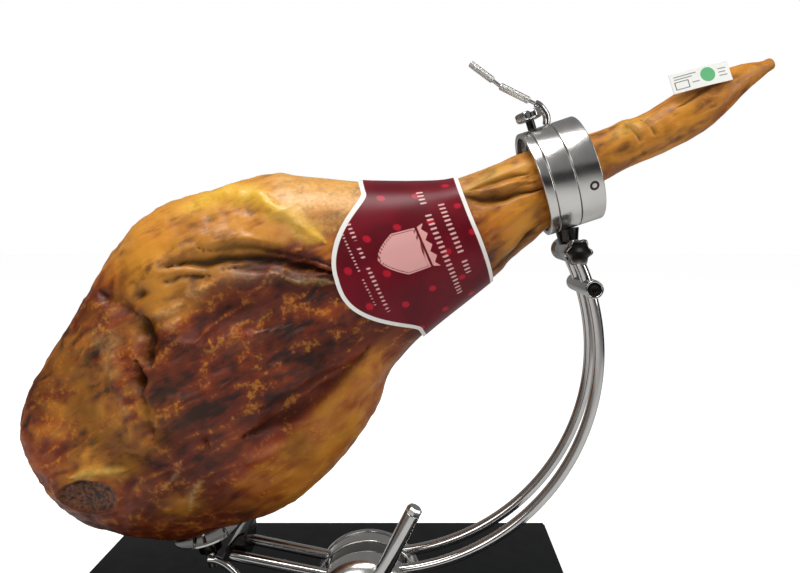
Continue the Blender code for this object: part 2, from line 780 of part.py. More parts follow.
def make_collar():
    frame = collar_frame()
    start = -COLLAR_LENGTH / 2
    inner = COLLAR_RADIUS - COLLAR_WALL
    made = {}
    for name, length in COLLAR_BANDS:
        low, high = start + GAP / 2, start + length - GAP / 2
        profile = (
            (inner, low),
            (COLLAR_RADIUS - COLLAR_BEVEL, low),
            (COLLAR_RADIUS, low + COLLAR_BEVEL),
            (COLLAR_RADIUS, high - COLLAR_BEVEL),
            (COLLAR_RADIUS - COLLAR_BEVEL, high),
            (inner, high),
        )
        ring = turned(profile, COLLAR_SIDES, hollow=True)
        made[name] = add_object(name, ring, "brushed_steel", frame)
        start += length
    make_set_screw(made["ring_right"], frame)


def make_set_screw(ring, frame):
    """A small socket screw in a pocket of the ring."""
    along = COLLAR_LENGTH / 2 - COLLAR_BANDS[2][1] * SET_SCREW_SHARE
    outward = Vector((cos(SET_SCREW_ROUND), sin(SET_SCREW_ROUND), 0))
    seat = frame @ (outward * (COLLAR_RADIUS - SET_SCREW_DEPTH - GAP) + Vector((0, 0, along)))
    aim = frame.to_3x3() @ outward
    pocket_shape = turned(rod_profile(SET_SCREW_RADIUS + GAP, 0.010, 0.0), 18)
    pocket_frame = turned_frame(seat - aim * GAP, aim)
    pocket = add_object("screw_pocket", pocket_shape, "dark_steel", pocket_frame)
    boolean(ring, as_cutter(pocket))
    head = socket_screw(SET_SCREW_RADIUS, SET_SCREW_DEPTH - 0.0002, SET_SCREW_RADIUS / 2)
    add_object("set_screw", head, "dark_steel", turned_frame(seat, aim))


def make_lock_knob():
    """The lobed knob on top of the collar, with its stem."""
    frame = collar_frame()
    up = frame.to_3x3() @ Vector((0, -1, 0))
    foot = frame @ Vector((0, -(COLLAR_RADIUS + GAP), STEM_ALONG))
    stem = turned(rod_profile(STEM_RADIUS, KNOB_LIFT - 2 * GAP, 0.0002), 16)
    add_object("lock_stem", stem, "dark_steel", turned_frame(foot, up))
    knob = lobed(KNOB_RADIUS, KNOB_LOBES, KNOB_LOBE_DEPTH, KNOB_THICK, KNOB_BEVEL)
    knob_frame = turned_frame(foot + up * (KNOB_LIFT - GAP), up)
    add_object("lock_knob", knob, "polished_steel", knob_frame)


def make_handle():
    """The bent handle behind the knob: a tab, a thin rod and two knurled grips in line."""
    tab_foot = Vector((-HANDLE_Y, -(COLLAR_RADIUS + 2 * GAP), HANDLE_TAB_ALONG))
    tab_path = [collar_frame() @ tab_foot]
    tab_path += [above_board(x, z, HANDLE_Y) for x, z in TAB_BENDS]
    add_object("handle_tab", swept(tab_path, HANDLE_TAB_RADIUS, HANDLE_SIDES), "polished_steel")
    joints = [above_board(x, z, HANDLE_Y) for x, z in HANDLE_BENDS]
    runs = (
        ("handle_rod", joints[0], joints[1], HANDLE_ROD_RADIUS, 0.0002),
        ("handle_grip_inner", joints[1], joints[2], GRIP_INNER_RADIUS, 0.0007),
        ("handle_link", joints[2], joints[3], HANDLE_ROD_RADIUS, 0.0002),
        ("handle_grip_outer", joints[3], joints[4], GRIP_OUTER_RADIUS, 0.0010),
    )
    for name, start, end, radius, bevel in runs:
        aim = (end - start).normalized()
        clear = HANDLE_ROD_CLEAR if radius == HANDLE_ROD_RADIUS else GAP
        length = (end - start).length - 2 * clear
        shape = turned(rod_profile(radius, length, bevel), HANDLE_SIDES)
        add_object(name, shape, "brushed_steel", turned_frame(start + aim * clear, aim))


# ------------------------------------------------------------------ cup under the thigh
def cup_frame():
    axis = Vector((sin(CUP_TILT), 0, cos(CUP_TILT)))
    x, y, z = CUP_CENTRE
    return turned_frame(above_board(x, z, y), axis)


def cup_height(radius):
    """Height of the dish's inner face below its rim plane."""
    curve = (CUP_RADIUS**2 + CUP_DEPTH**2) / (2 * CUP_DEPTH)
    return curve - sqrt(curve**2 - radius**2) - CUP_DEPTH


def make_cup():
    """A shallow round dish on a socket, with a post below it."""
    inside, outside = [], []
    for step in range(DISH_STEPS + 1):
        radius = CUP_RADIUS * step / DISH_STEPS
        inside.append((radius, cup_height(radius)))
        outside.append((radius, cup_height(radius) - CUP_WALL))
    frame = cup_frame()
    dish = turned(outside + list(reversed(inside)), DISH_SIDES)
    add_object("cup_dish", dish, "polished_steel", frame)
    down = frame @ Matrix.Rotation(pi, 4, "X")
    under = CUP_DEPTH + CUP_WALL + GAP
    socket = turned(rod_profile(SOCKET_RADIUS, SOCKET_LENGTH, 0.001), 20)
    add_object("cup_socket", socket, "dark_steel", down @ Matrix.Translation((0, 0, under)))
    post = turned(rod_profile(POST_RADIUS, POST_LENGTH, 0.001), 16)
    post_start = under + SOCKET_LENGTH + GAP
    add_object("cup_post", post, "polished_steel", down @ Matrix.Translation((0, 0, post_start)))


def make_spikes(ham):
    """Pointed pins that stand on the dish and go into the thigh."""
    frame = cup_frame()
    foot = cup_height(SPIKE_CIRCLE + SPIKE_RADIUS) + GAP
    for number, degree in enumerate(SPIKE_ANGLES, start=1):
        x, y = SPIKE_CIRCLE * cos(radians(degree)), SPIKE_CIRCLE * sin(radians(degree))
        place = frame @ Matrix.Translation((x, y, foot))
        shoulder = (SPIKE_RADIUS * 0.8, SPIKE_LENGTH * 0.6)
        pin = ((0.0, 0.0), (SPIKE_RADIUS, 0.0), shoulder, (0.0, SPIKE_LENGTH))
        add_object(f"cup_spike_{number}", turned(pin, 10), "polished_steel", place)
        hole = (
            (0.0, -HOLE_RUN_OUT),
            (SPIKE_RADIUS + GAP, -HOLE_RUN_OUT),
            (SPIKE_RADIUS + GAP, 0.0),
            (shoulder[0] + GAP, shoulder[1]),
            (0.0, SPIKE_LENGTH + 3 * GAP),
        )
        cutter = add_object(f"spike_hole_{number}", turned(hole, 10), "dark_steel", place)
        boolean(ham, as_cutter(cutter))


def make_cup_bracket(back_hole):
    """The dark block on the back tube's end, and the round strut from the dish to the tubes."""
    shape = bmesh.new()
    front, back = (
        [shape.verts.new(above_board(x, z, y)) for x, z in BLOCK_CORNERS] for y in BLOCK_SPAN
    )
    shape.faces.new(front)
    shape.faces.new(back)
    for index in range(len(front)):
        after = (index + 1) % len(front)
        shape.faces.new((front[index], front[after], back[after], back[index]))
    bmesh.ops.bevel(
        shape, geom=shape.edges[:], offset=BLOCK_BEVEL, segments=1, affect="EDGES"
    )
    boolean(add_object("cup_block", shape, "dark_steel"), back_hole)
    bar = swept([above_board(x, z, STRUT_Y) for x, z in STRUT_BENDS], STRUT_RADIUS)
    add_object("cup_strut", bar, "polished_steel")


def main():
    clear_scene()
    ham = make_ham()
    make_label()
    make_foot_tag()
    make_board()
    holes = make_tubes()
    make_hub(holes)
    make_lever()
    make_height_clamp(holes)
    make_collar()
    make_hinge(holes)
    make_star_knob()
    make_lock_knob()
    make_handle()
    make_cup()
    make_spikes(ham)
    make_cup_bracket(holes[1])


main()
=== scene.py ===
# %% [markdown]
# # A cured ham in its carving stand
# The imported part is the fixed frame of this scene. Its solids say where everything is, and the
# cells below build the fine surface over them. The corners of the frame are measured first.

# %% Load the frame
from math import asin, cos, pi, radians, sin, sqrt

import bmesh
import bpy
import numpy as np
from mathutils import Matrix, Vector
from mathutils.bvhtree import BVHTree


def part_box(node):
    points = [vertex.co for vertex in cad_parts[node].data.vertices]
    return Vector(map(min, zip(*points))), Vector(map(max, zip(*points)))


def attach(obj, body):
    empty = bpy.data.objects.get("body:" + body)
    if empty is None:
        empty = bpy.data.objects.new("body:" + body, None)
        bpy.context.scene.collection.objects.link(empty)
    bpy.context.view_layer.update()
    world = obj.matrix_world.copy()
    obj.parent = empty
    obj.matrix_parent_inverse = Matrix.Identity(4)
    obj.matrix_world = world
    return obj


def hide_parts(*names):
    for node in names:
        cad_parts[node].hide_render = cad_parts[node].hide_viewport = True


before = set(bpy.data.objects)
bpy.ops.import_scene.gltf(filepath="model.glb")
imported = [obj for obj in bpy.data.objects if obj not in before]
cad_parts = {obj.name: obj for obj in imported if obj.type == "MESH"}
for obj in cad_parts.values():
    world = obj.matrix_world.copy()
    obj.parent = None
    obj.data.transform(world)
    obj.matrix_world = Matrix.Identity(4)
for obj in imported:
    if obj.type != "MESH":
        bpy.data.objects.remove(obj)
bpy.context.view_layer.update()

# %% [markdown]
# ## Sizes
# These are the driving sizes of the solids, in metres and above the top of the board. The fine
# pieces are turned and swept from the same sizes, so that they lie on the frame.
# The leg has its own frame: a distance along its line, a height off that line, and a depth.

# %% Sizes
BOARD_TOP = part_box("base_board")[1].z
LEG_TILT = radians(30)
LEG_ALONG = np.array((cos(LEG_TILT), 0.0, sin(LEG_TILT)))
LEG_OFF = np.array((-sin(LEG_TILT), 0.0, cos(LEG_TILT)))
LEG_DEPTH = np.array((0.0, 1.0, 0.0))
LEG_ROOT = np.array((0.0, 0.0, BOARD_TOP))
LEG_CORE = 0.2265                  # a height off the line that is inside the leg all along it

COLLAR_CENTRE = (0.219, 0.3955)
COLLAR_TILT = radians(18.5)
COLLAR_RADIUS = 0.0464
COLLAR_WALL = 0.0040
COLLAR_BANDS = (("ring_left", 0.0085), ("ring_middle", 0.0190), ("ring_right", 0.0215))
COLLAR_LENGTH = sum(length for _, length in COLLAR_BANDS)

TUBE_RADIUS = 0.0050
TUBE_APART = 0.032
ARC_RADIUS = 0.199
ARC_CENTRE = (0.056, 0.234)
ARC_TOP = radians(27.5)
ARM_SLOPE = 0.217
ARM_JOIN = (0.004, 0.033)
ARM_END = -0.078

HUB_X = 0.046
HUB_RADIUS = 0.052
HINGE_ANGLE = radians(29)
HINGE_RADIUS = 0.0105
HINGE_LENGTH = 0.056
CLAMP_ANGLE = radians(19)
CLAMP_RADIUS = 0.0080
CLAMP_LENGTH = 0.070
CUP_CENTRE = (-0.105, 0.0655)
CUP_TILT = radians(-10)
CUP_RADIUS = 0.0290
CUP_DEPTH = 0.0065

print("top of the board in mm", round(BOARD_TOP * 1000, 1))

# %% [markdown]
# ## Shape helpers
# Most of the stand was made on a lathe or bent from tube. `turned` spins an outline round its
# own Z axis, and `swept` carries a circle along a route. Each piece keeps its own axis as its
# local Z, so that a finish can run round it in the way a tool would leave it.

# %% Shape helpers
HAIR = 1e-5                        # the radius left at an axis, so that no face is empty


def above_board(x, z, y=0.0):
    return Vector((x, y, z + BOARD_TOP))


def turned_frame(origin, axis, side=None):
    """A frame at origin whose Z runs along axis and whose X is as near side as it can be."""
    along = Vector(axis).normalized()
    if side is None:
        side = Vector((1, 0, 0)) if abs(along.y) > 0.9 else Vector((0, 1, 0))
    across = (side - along * side.dot(along)).normalized()
    turn = Matrix((across, along.cross(across), along)).transposed()
    return Matrix.Translation(origin) @ turn.to_4x4()


def piece_from_grid(name, grid, placed=None, wrap=(True, False), sharp=35):
    """A closed piece over a grid of points. wrap says which of its two directions join up."""
    columns, rows = grid.shape[:2]
    column = np.arange(columns if wrap[0] else columns - 1)[:, None]
    row = np.arange(rows if wrap[1] else rows - 1)[None, :]
    next_column = (column + 1) % columns
    next_row = (row + 1) % rows
    corners = (
        column * rows + row,
        next_column * rows + row,
        next_column * rows + next_row,
        column * rows + next_row,
    )
    faces = np.stack(corners, -1).reshape(-1, 4).tolist()
    points = grid.reshape(-1, 3)
    if wrap[0] and not wrap[1]:
        for end in (0, rows - 1):
            ring = np.arange(columns) * rows + end
            faces.append(ring.tolist())
    mesh = bpy.data.meshes.new(name)
    mesh.from_pydata(points.tolist(), [], faces)
    shape = bmesh.new()
    shape.from_mesh(mesh)
    bmesh.ops.recalc_face_normals(shape, faces=shape.faces)
    shape.to_mesh(mesh)
    shape.free()
    mesh.shade_smooth()
    mesh.set_sharp_from_angle(angle=radians(sharp))
    made = bpy.data.objects.new(name, mesh)
    bpy.context.scene.collection.objects.link(made)
    if placed is not None:
        made.matrix_world = placed
    return made


def turned(name, outline, placed, sides=96, whole=True, hollow=False, sharp=35):
    """Spin (radius, height) points about Z. Points at the axis are opened by a hair."""
    outline = np.array([(max(radius, HAIR), height) for radius, height in outline])
    span = 2 * pi if whole else pi
    angle = np.linspace(0, span, sides + (0 if whole else 1), endpoint=not whole)
    grid = np.empty((len(angle), len(outline), 3))
    grid[..., 0] = np.cos(angle)[:, None] * outline[:, 0]
    grid[..., 1] = np.sin(angle)[:, None] * outline[:, 0]
    grid[..., 2] = outline[:, 1]
    if whole:
        return piece_from_grid(name, grid, placed, (True, hollow), sharp)
    flat = grid.transpose(1, 0, 2)
    made = piece_from_grid(name, flat, placed, (False, False), sharp)
    shape = bmesh.new()
    shape.from_mesh(made.data)
    bmesh.ops.holes_fill(shape, edges=shape.edges)
    bmesh.ops.recalc_face_normals(shape, faces=shape.faces)
    shape.to_mesh(made.data)
    shape.free()
    return made


def rounded(outline, corner, steps=4):
    """Replace each inner corner of an outline by a short round of that size."""
    points = [Vector(point) for point in outline]
    made = [points[0]]
    for before, here, after in zip(points, points[1:], points[2:]):
        back, ahead = before - here, after - here
        size = min(corner, back.length * 0.45, ahead.length * 0.45)
        start, end = here + back.normalized() * size, here + ahead.normalized() * size
        for step in range(steps + 1):
            share = step / steps
            low, high = start.lerp(here, share), here.lerp(end, share)
            made.append(low.lerp(high, share))
    made.append(points[-1])
    return [tuple(point) for point in made]


def rod(name, radius, length, placed, corner=0.0006, sides=64):
    """A plain round bar with softened ends, standing on Z = 0."""
    outline = ((0, 0), (radius, 0), (radius, length), (0, length))
    return turned(name, rounded(outline, corner), placed, sides)


def swept(name, points, radius, sides=32, end_round=0.0008):
    """A round bar along points in one plane square to Y, with softened ends."""
    points = [Vector(point) for point in points]
    ends = []
    for tip, inner in ((points[0], points[1]), (points[-1], points[-2])):
        ends.append((tip, (inner - tip).normalized()))
    route = [(points[0], HAIR)]
    route += [(ends[0][0] + ends[0][1] * HAIR, radius - end_round)]
    route += [(ends[0][0] + ends[0][1] * end_round, radius)]
    route += [(point, radius) for point in points[1:-1]]
    route += [(ends[1][0] + ends[1][1] * end_round, radius)]
    route += [(ends[1][0] + ends[1][1] * HAIR, radius - end_round)]
    route += [(points[-1], HAIR)]
    angle = np.linspace(0, 2 * pi, sides, endpoint=False)
    grid = np.empty((sides, len(route), 3))
    side = Vector((0, 1, 0))
    for index, (point, size) in enumerate(route):
        before, after = route[max(index - 1, 0)][0], route[min(index + 1, len(route) - 1)][0]
        across = (after - before).normalized().cross(side).normalized()
        ring = np.outer(np.cos(angle), across) + np.outer(np.sin(angle), side)
        grid[:, index] = np.array(point) + size * ring
    return piece_from_grid(name, grid)


def lobed(name, radius, lobes, depth, thick, placed, corner=0.0016):
    """A hand knob whose rim has rounded lobes."""
    outline = ((0.0, 0), (0.80, 0), (1.0, 0.16), (1.0, 0.84), (0.86, 1.0), (0.30, 1.0), (0.0, 0.96))
    outline = rounded([(share, height) for share, height in outline], corner / radius, 3)
    angle = np.linspace(0, 2 * pi, lobes * 16, endpoint=False)
    grid = np.empty((len(angle), len(outline), 3))
    for index, (share, height) in enumerate(outline):
        wave = 1 - depth * min(share, 1) ** 3 * (1 - np.cos(lobes * angle)) / 2
        reach = radius * max(share, 1e-4) * wave
        grid[:, index, 0] = reach * np.cos(angle)
        grid[:, index, 1] = reach * np.sin(angle)
        grid[:, index, 2] = height * thick
    return piece_from_grid(name, grid, placed)


def dress(piece, body, slot, material, *nodes):
    """Give a piece its material and body, and the solids that it stands for. The slot is not used."""
    piece.data.materials.clear()
    piece.data.materials.append(material)
    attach(piece, body)
    if nodes:
        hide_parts(*nodes)
    return piece


print("helpers ready")

# %% [markdown]
# ## Shader helpers
# A material here is a small graph of nodes. `node` adds one node and plugs in its inputs, so a
# graph reads as a list of steps. Two effects serve several materials and are node groups:
# fine lines left round a turned piece, and soft patches of wear.

# %% Shader helpers
def linear(red, green, blue):
    """A colour given as 0 to 255 screen values, turned to linear light."""
    made = []
    for value in (red, green, blue):
        share = value / 255
        made.append(share / 12.92 if share <= 0.04045 else ((share + 0.055) / 1.055) ** 2.4)
    return (*made, 1.0)


def node(tree, kind, inputs=None, **settings):
    made = tree.nodes.new("ShaderNode" + kind)
    for name, value in settings.items():
        setattr(made, name, value)
    for place, value in (inputs or {}).items():
        if isinstance(value, bpy.types.NodeSocket):
            tree.links.new(value, made.inputs[place])
        else:
            made.inputs[place].default_value = value
    return made


def mixed(tree, share, first, second):
    made = node(tree, "Mix", {0: share, 6: first, 7: second}, data_type="RGBA")
    return made.outputs[2]


def ramp(tree, value, low, high, to_low=0.0, to_high=1.0):
    """Turn a value smoothly from to_low at low to to_high at high."""
    inputs = {0: value, 1: low, 2: high, 3: to_low, 4: to_high}
    return node(tree, "MapRange", inputs, interpolation_type="SMOOTHSTEP").outputs[0]


def maths(tree, operation, first, second):
    return node(tree, "Math", {0: first, 1: second}, operation=operation).outputs[0]


def field(tree, name):
    return node(tree, "Attribute", attribute_name=name).outputs["Fac"]


def noise_at(tree, scale, detail=3.0, rough=0.5, stretch=(1, 1, 1), turn=(0, 0, 0)):
    """Noise in the piece's own coordinates, which can be turned and stretched first."""
    own = node(tree, "TexCoord").outputs["Object"]
    turned_to = node(tree, "Mapping", {0: own, 2: turn, 3: (1, 1, 1)}).outputs[0]
    placed = node(tree, "Mapping", {0: turned_to, 3: stretch}).outputs[0]
    inputs = {"Vector": placed, "Scale": scale, "Detail": detail, "Roughness": rough}
    return node(tree, "TexNoise", inputs).outputs[0]


def new_material(name):
    material = bpy.data.materials.new(name)
    material.use_nodes = True
    return material, material.node_tree, material.node_tree.nodes["Principled BSDF"]


def wire(tree, shader, **inputs):
    """Plug values or node outputs into a Principled shader by name, _ for a space."""
    for name, value in inputs.items():
        socket = shader.inputs[name.replace("_", " ")]
        if isinstance(value, bpy.types.NodeSocket):
            tree.links.new(value, socket)
        else:
            socket.default_value = value


def value_group(name, build):
    """A node group with one float output."""
    tree = bpy.data.node_groups.new(name, "ShaderNodeTree")
    tree.interface.new_socket("Value", in_out="OUTPUT", socket_type="NodeSocketFloat")
    out = tree.nodes.new("NodeGroupOutput")
    tree.links.new(build(tree), out.inputs[0])
    return tree


turned_lines = value_group(
    "turned_lines",
    lambda tree: noise_at(tree, 60.0, 4.0, 0.6, stretch=(0.05, 0.05, 30.0)),
)
soft_patches = value_group("soft_patches", lambda tree: noise_at(tree, 55.0, 3.0, 0.55))


def grouped(tree, group):
    made = tree.nodes.new("ShaderNodeGroup")
    made.node_tree = group
    return made.outputs[0]


print("groups", [group.name for group in bpy.data.node_groups])

# %% [markdown]
# ## Steel, board and card finishes
# Four steels share the same graph: brushed with lines round the piece, polished with only a
# soft haze, and two that are darkened. The darkest is black on the screws, the socket and the
# block, and a painted dark reflection on the collar's neck and the knob's stem. Real stainless
# is never one even shine, so the roughness wanders a little with the patches. The board is a
# black lacquer with a faint speckle.

# %% Steel and board
def steel(name, colour, smooth, coarse, lines):
    material, tree, shader = new_material(name)
    streaks = grouped(tree, turned_lines)
    patches = grouped(tree, soft_patches)
    tone = ramp(tree, patches, 0.3, 0.7, 0.92, 1.0)
    shaded = node(tree, "HueSaturation", {"Value": tone, "Color": colour}).outputs[0]
    spread = maths(tree, "ADD", maths(tree, "MULTIPLY", streaks, lines), patches)
    rough = ramp(tree, spread, 0.35, 0.75 + lines * 0.6, smooth, coarse)
    bump = node(tree, "Bump", {"Height": streaks, "Strength": 0.25 * lines, "Distance": 0.0002})
    wire(tree, shader, Base_Color=shaded, Metallic=1.0, Roughness=rough, Normal=bump.outputs[0])
    return material


brushed_steel = steel("brushed_steel_look", linear(212, 210, 206), 0.15, 0.26, 0.8)
polished_steel = steel("polished_steel_look", linear(198, 196, 193), 0.07, 0.15, 0.05)
dark_steel = steel("dark_steel_look", linear(132, 127, 122), 0.12, 0.24, 0.15)
# Black steel for the screws, the dish socket and the block; on the collar's neck and the knob's stem it is a
# painted dark reflection.
black_and_shaded_steel = steel("black_and_shaded_steel_look", linear(62, 60, 58), 0.18, 0.30, 0.15)


def make_board_look():
    material, tree, shader = new_material("black_board_look")
    speckle = noise_at(tree, 900.0, 2.0, 0.6)
    colour = mixed(tree, ramp(tree, speckle, 0.45, 0.75), linear(9, 10, 12), linear(22, 24, 28))
    patches = ramp(tree, grouped(tree, soft_patches), 0.3, 0.7, 0.30, 0.42)
    bump = node(tree, "Bump", {"Height": speckle, "Strength": 0.15, "Distance": 0.0003})
    wire(tree, shader, Base_Color=colour, Roughness=patches, Normal=bump.outputs[0],
         Specular_IOR_Level=0.3)
    return material


black_board = make_board_look()
print("finishes", [material.name for material in bpy.data.materials if material.users == 0])

# %% [markdown]
# ## The board
# A plain rectangular base board. Its edges are rounded over a little so that they catch a thin
# line of light, as any lacquered board does.

# %% Board
def make_board():
    low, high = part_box("base_board")
    shape = bmesh.new()
    bmesh.ops.create_cube(shape, size=1.0)
    bmesh.ops.scale(shape, vec=high - low, verts=shape.verts)
    bmesh.ops.bevel(shape, geom=shape.edges[:], offset=0.002, segments=4, affect="EDGES")
    mesh = bpy.data.meshes.new("board")
    shape.to_mesh(mesh)
    shape.free()
    mesh.shade_smooth()
    mesh.set_sharp_from_angle(angle=radians(40))
    board = bpy.data.objects.new("board", mesh)
    bpy.context.scene.collection.objects.link(board)
    board.location = (low + high) / 2
    return dress(board, "stand", "black_board", black_board, "base_board")


board = make_board()
print("board faces", len(board.data.polygons))

# %% [markdown]
# ## The two tubes
# Each tube is one length of stainless tube: a straight arm at the left, a blend hidden in the
# hub, and a long arc up to the hinge. The pair runs side by side and holds the collar.

# %% Tubes
def arc_point(angle, y=0.0):
    x = ARC_CENTRE[0] + ARC_RADIUS * cos(angle)
    z = ARC_CENTRE[1] + ARC_RADIUS * sin(angle)
    return above_board(x, z, y)


def tube_route(y):
    """The centreline of a tube: straight arm, blend inside the hub, then the arc."""
    join_x, join_z = ARM_JOIN
    arm_stop = HUB_X - 0.030
    points = []
    for x in np.linspace(ARM_END, arm_stop, 6):
        points.append(above_board(x, join_z - ARM_SLOPE * (x - join_x), y))
    arc_start = asin(-cos(asin((HUB_X + 0.032 - ARC_CENTRE[0]) / ARC_RADIUS)))
    first, last = points[-1], arc_point(arc_start, y)
    heading = Vector((1, 0, -ARM_SLOPE)).normalized()
    leaving = Vector((-sin(arc_start), 0, cos(arc_start)))
    reach = (last - first).length
    for u in np.linspace(0, 1, 14)[1:-1]:
        points.append(
            first * (2 * u**3 - 3 * u**2 + 1)
            + heading * reach * (u**3 - 2 * u**2 + u)
            + last * (3 * u**2 - 2 * u**3)
            + leaving * reach * (u**3 - u**2)
        )
    points += [arc_point(angle, y) for angle in np.linspace(arc_start, ARC_TOP, 72)]
    return points


for name, y in (("tube_front", -TUBE_APART / 2), ("tube_back", TUBE_APART / 2)):
    tube = swept(name + "_smooth", tube_route(y), TUBE_RADIUS)
    dress(tube, "stand", "polished_steel", polished_steel, name)
print("tube points", len(tube_route(0)))

# %% [markdown]
# ## The hub
# The hub is a stack of half drums that stand on the board: a polished plate at the back, a satin
# band, a dark polished housing, and a brushed cap that swells forward like a lamp glass. Each is
# half a turned piece, cut off flat where it meets the board.

# %% Hub
def half_drum(name, outline, slot, material, node_name, corner=0.0010):
    placed = turned_frame(above_board(HUB_X, 0.0003), (0, -1, 0), side=Vector((1, 0, 0)))
    made = turned(name, rounded(outline, corner), placed, 96, whole=False)
    return dress(made, "stand", slot, material, node_name)


def drum_outline(back, front, radius):
    return ((0, back), (radius, back), (radius, front), (0, front))


half_drum("hub_plate", drum_outline(-0.0283, -0.0233, HUB_RADIUS + 0.0008),
          "polished_steel", polished_steel, "hub_back_plate")
half_drum("hub_satin_band", drum_outline(-0.0230, -0.0070, HUB_RADIUS),
          "brushed_steel", brushed_steel, "hub_band", 0.0018)
half_drum("hub_dark_drum", drum_outline(-0.0067, 0.0100, HUB_RADIUS - 0.0012),
          "dark_steel", dark_steel, "hub_housing")

CAP_BACK = 0.0103
CAP_RIM = CAP_BACK + 0.0115
CAP_FRONT = 0.0360
CAP_NOSE_RADIUS = 0.034
cap_outline = [(0, CAP_BACK), (HUB_RADIUS - 0.0012, CAP_BACK)]
for step in range(17):
    angle = pi / 2 * step / 16
    radius = CAP_NOSE_RADIUS + (HUB_RADIUS - 0.0012 - CAP_NOSE_RADIUS) * cos(angle)
    cap_outline.append((radius, CAP_RIM + (CAP_FRONT - CAP_RIM) * sin(angle)))
cap_outline.append((0, CAP_FRONT))
half_drum("hub_cap", cap_outline, "brushed_steel", brushed_steel, "hub_front_cap", 0.0008)
print("hub cap points", len(cap_outline))

# %% [markdown]
# ## The hand lever
# A round bar stands on a flat boss in front of the hub and turns with it. Its end carries a
# lighter tip with eight flats. The bar and the boss are one turned shape each, and both ride on
# the lever's body because they move together.

# %% Lever
LEVER_TILT = radians(26)
LEVER_LENGTH = 0.100
LEVER_RADIUS = 0.0070
LEVER_PIVOT_Z = 0.0160
LEVER_Y = -0.0455
LEVER_TIP = 0.0060
lever_aim = Vector((sin(LEVER_TILT), 0, cos(LEVER_TILT)))
lever_foot = above_board(HUB_X, LEVER_PIVOT_Z, LEVER_Y)
boss_back = above_board(HUB_X, LEVER_PIVOT_Z, -CAP_FRONT - 0.0003)
boss_length = boss_back.y - LEVER_Y + LEVER_RADIUS

lever_bar = rod("lever_bar", LEVER_RADIUS, LEVER_LENGTH, turned_frame(lever_foot, lever_aim))
lever_boss = rod("lever_boss", 0.0150, boss_length, turned_frame(boss_back, (0, -1, 0)), 0.0014)
dress(lever_bar, "hub_lever", "polished_steel", polished_steel, "hub_lever")
dress(lever_boss, "hub_lever", "polished_steel", polished_steel)

tip_outline = ((0, 0), (LEVER_RADIUS, 0), (LEVER_RADIUS, LEVER_TIP * 0.7),
               (LEVER_RADIUS * 0.76, LEVER_TIP), (0, LEVER_TIP))
tip_frame = turned_frame(lever_foot + lever_aim * (LEVER_LENGTH + 0.0003), lever_aim)
tip = turned("lever_end", rounded(tip_outline, 0.0003), tip_frame, 8, sharp=25)
dress(tip, "hub_lever", "brushed_steel", brushed_steel, "lever_tip")
print("lever length in mm", LEVER_LENGTH * 1000)

# %% [markdown]
# ## Clamp, hinge and star knob
# A crossbar with a socket screw clamps both tubes. Above it the hinge barrel sits across the two
# tube ends, with rounded grooves at its back, and a dark star knob locks it at the front.

# %% Clamp and hinge
def socket_outline(radius, length, socket):
    """The outline of a round head with a blind socket in its outer end."""
    return ((0, 0), (radius, 0), (radius, length), (socket, length), (socket, length * 0.45),
            (0, length * 0.45))


clamp_frame = turned_frame(arc_point(CLAMP_ANGLE, CLAMP_LENGTH / 2), (0, -1, 0))
clamp_outline = ((0, 0), (CLAMP_RADIUS, 0), (CLAMP_RADIUS, CLAMP_LENGTH), (0.006, CLAMP_LENGTH),
                 (0.006, CLAMP_LENGTH - 0.005), (0, CLAMP_LENGTH - 0.005))
clamp = turned("clamp_bar", rounded(clamp_outline, 0.0009), clamp_frame)
dress(clamp, "stand", "polished_steel", polished_steel, "height_clamp")
screw_seat = arc_point(CLAMP_ANGLE, -CLAMP_LENGTH / 2 + 0.0047)
screw = turned("clamp_bolt", rounded(socket_outline(0.0057, 0.004, 0.0030), 0.0004),
               turned_frame(screw_seat, (0, -1, 0)))
dress(screw, "stand", "dark_steel", black_and_shaded_steel, "clamp_screw")

hinge_centre = arc_point(HINGE_ANGLE)
hinge_start = hinge_centre + Vector((0, HINGE_LENGTH / 2 + 0.002, 0))
rib_pitch = 0.0034
barrel_outline = [(0, 0), (HINGE_RADIUS - 0.001, 0)]
for step in range(61):
    height = 0.001 + 5 * rib_pitch * step / 60
    dip = 0.0007 * (1 - cos(2 * pi * (height - 0.001) / rib_pitch))
    barrel_outline.append((HINGE_RADIUS - dip, height))
barrel_outline += [(HINGE_RADIUS, HINGE_LENGTH - 0.001), (HINGE_RADIUS - 0.001, HINGE_LENGTH)]
barrel_outline.append((0, HINGE_LENGTH))
barrel = turned("hinge_bar", barrel_outline, turned_frame(hinge_start, (0, -1, 0)))
dress(barrel, "stand", "polished_steel", polished_steel, "hinge_barrel")

star_seat = arc_point(HINGE_ANGLE, -HINGE_LENGTH / 2 + 0.0017)
star = lobed("star_grip", 0.0122, 6, 0.26, 0.0100, turned_frame(star_seat, (0, -1, 0)))
dress(star, "star_knob", "dark_steel", dark_steel, "star_knob")
print("barrel points", len(barrel_outline))

# %% [markdown]
# ## The collar
# Three steel rings stand side by side round the shank with a dark seam between them. They were
# turned on a lathe and brushed round, so their highlight spreads along the ring. A neck joins
# the middle ring to the hinge, and a small socket screw sits in the ring nearest the foot.

# %% Collar
def make_collar_frame():
    """Z runs along the collar's axis to the foot, Y points down to the hinge."""
    axis = Vector((cos(COLLAR_TILT), 0, sin(COLLAR_TILT)))
    down = Vector((sin(COLLAR_TILT), 0, -cos(COLLAR_TILT)))
    turn = Matrix((down.cross(axis), down, axis)).transposed().to_4x4()
    return Matrix.Translation(above_board(*COLLAR_CENTRE)) @ turn


collar_frame = make_collar_frame()
collar_inner = COLLAR_RADIUS - COLLAR_WALL
start = -COLLAR_LENGTH / 2
for name, length in COLLAR_BANDS:
    low, high = start + 0.00015, start + length - 0.00015
    middle = (low + high) / 2
    outline = ((collar_inner, middle), (collar_inner, low), (COLLAR_RADIUS, low),
               (COLLAR_RADIUS, high), (collar_inner, high), (collar_inner, middle))
    ring = turned(name + "_turned", rounded(outline, 0.0009)[:-1], collar_frame, 192, hollow=True)
    dress(ring, "stand", "brushed_steel", brushed_steel, name)
    start += length

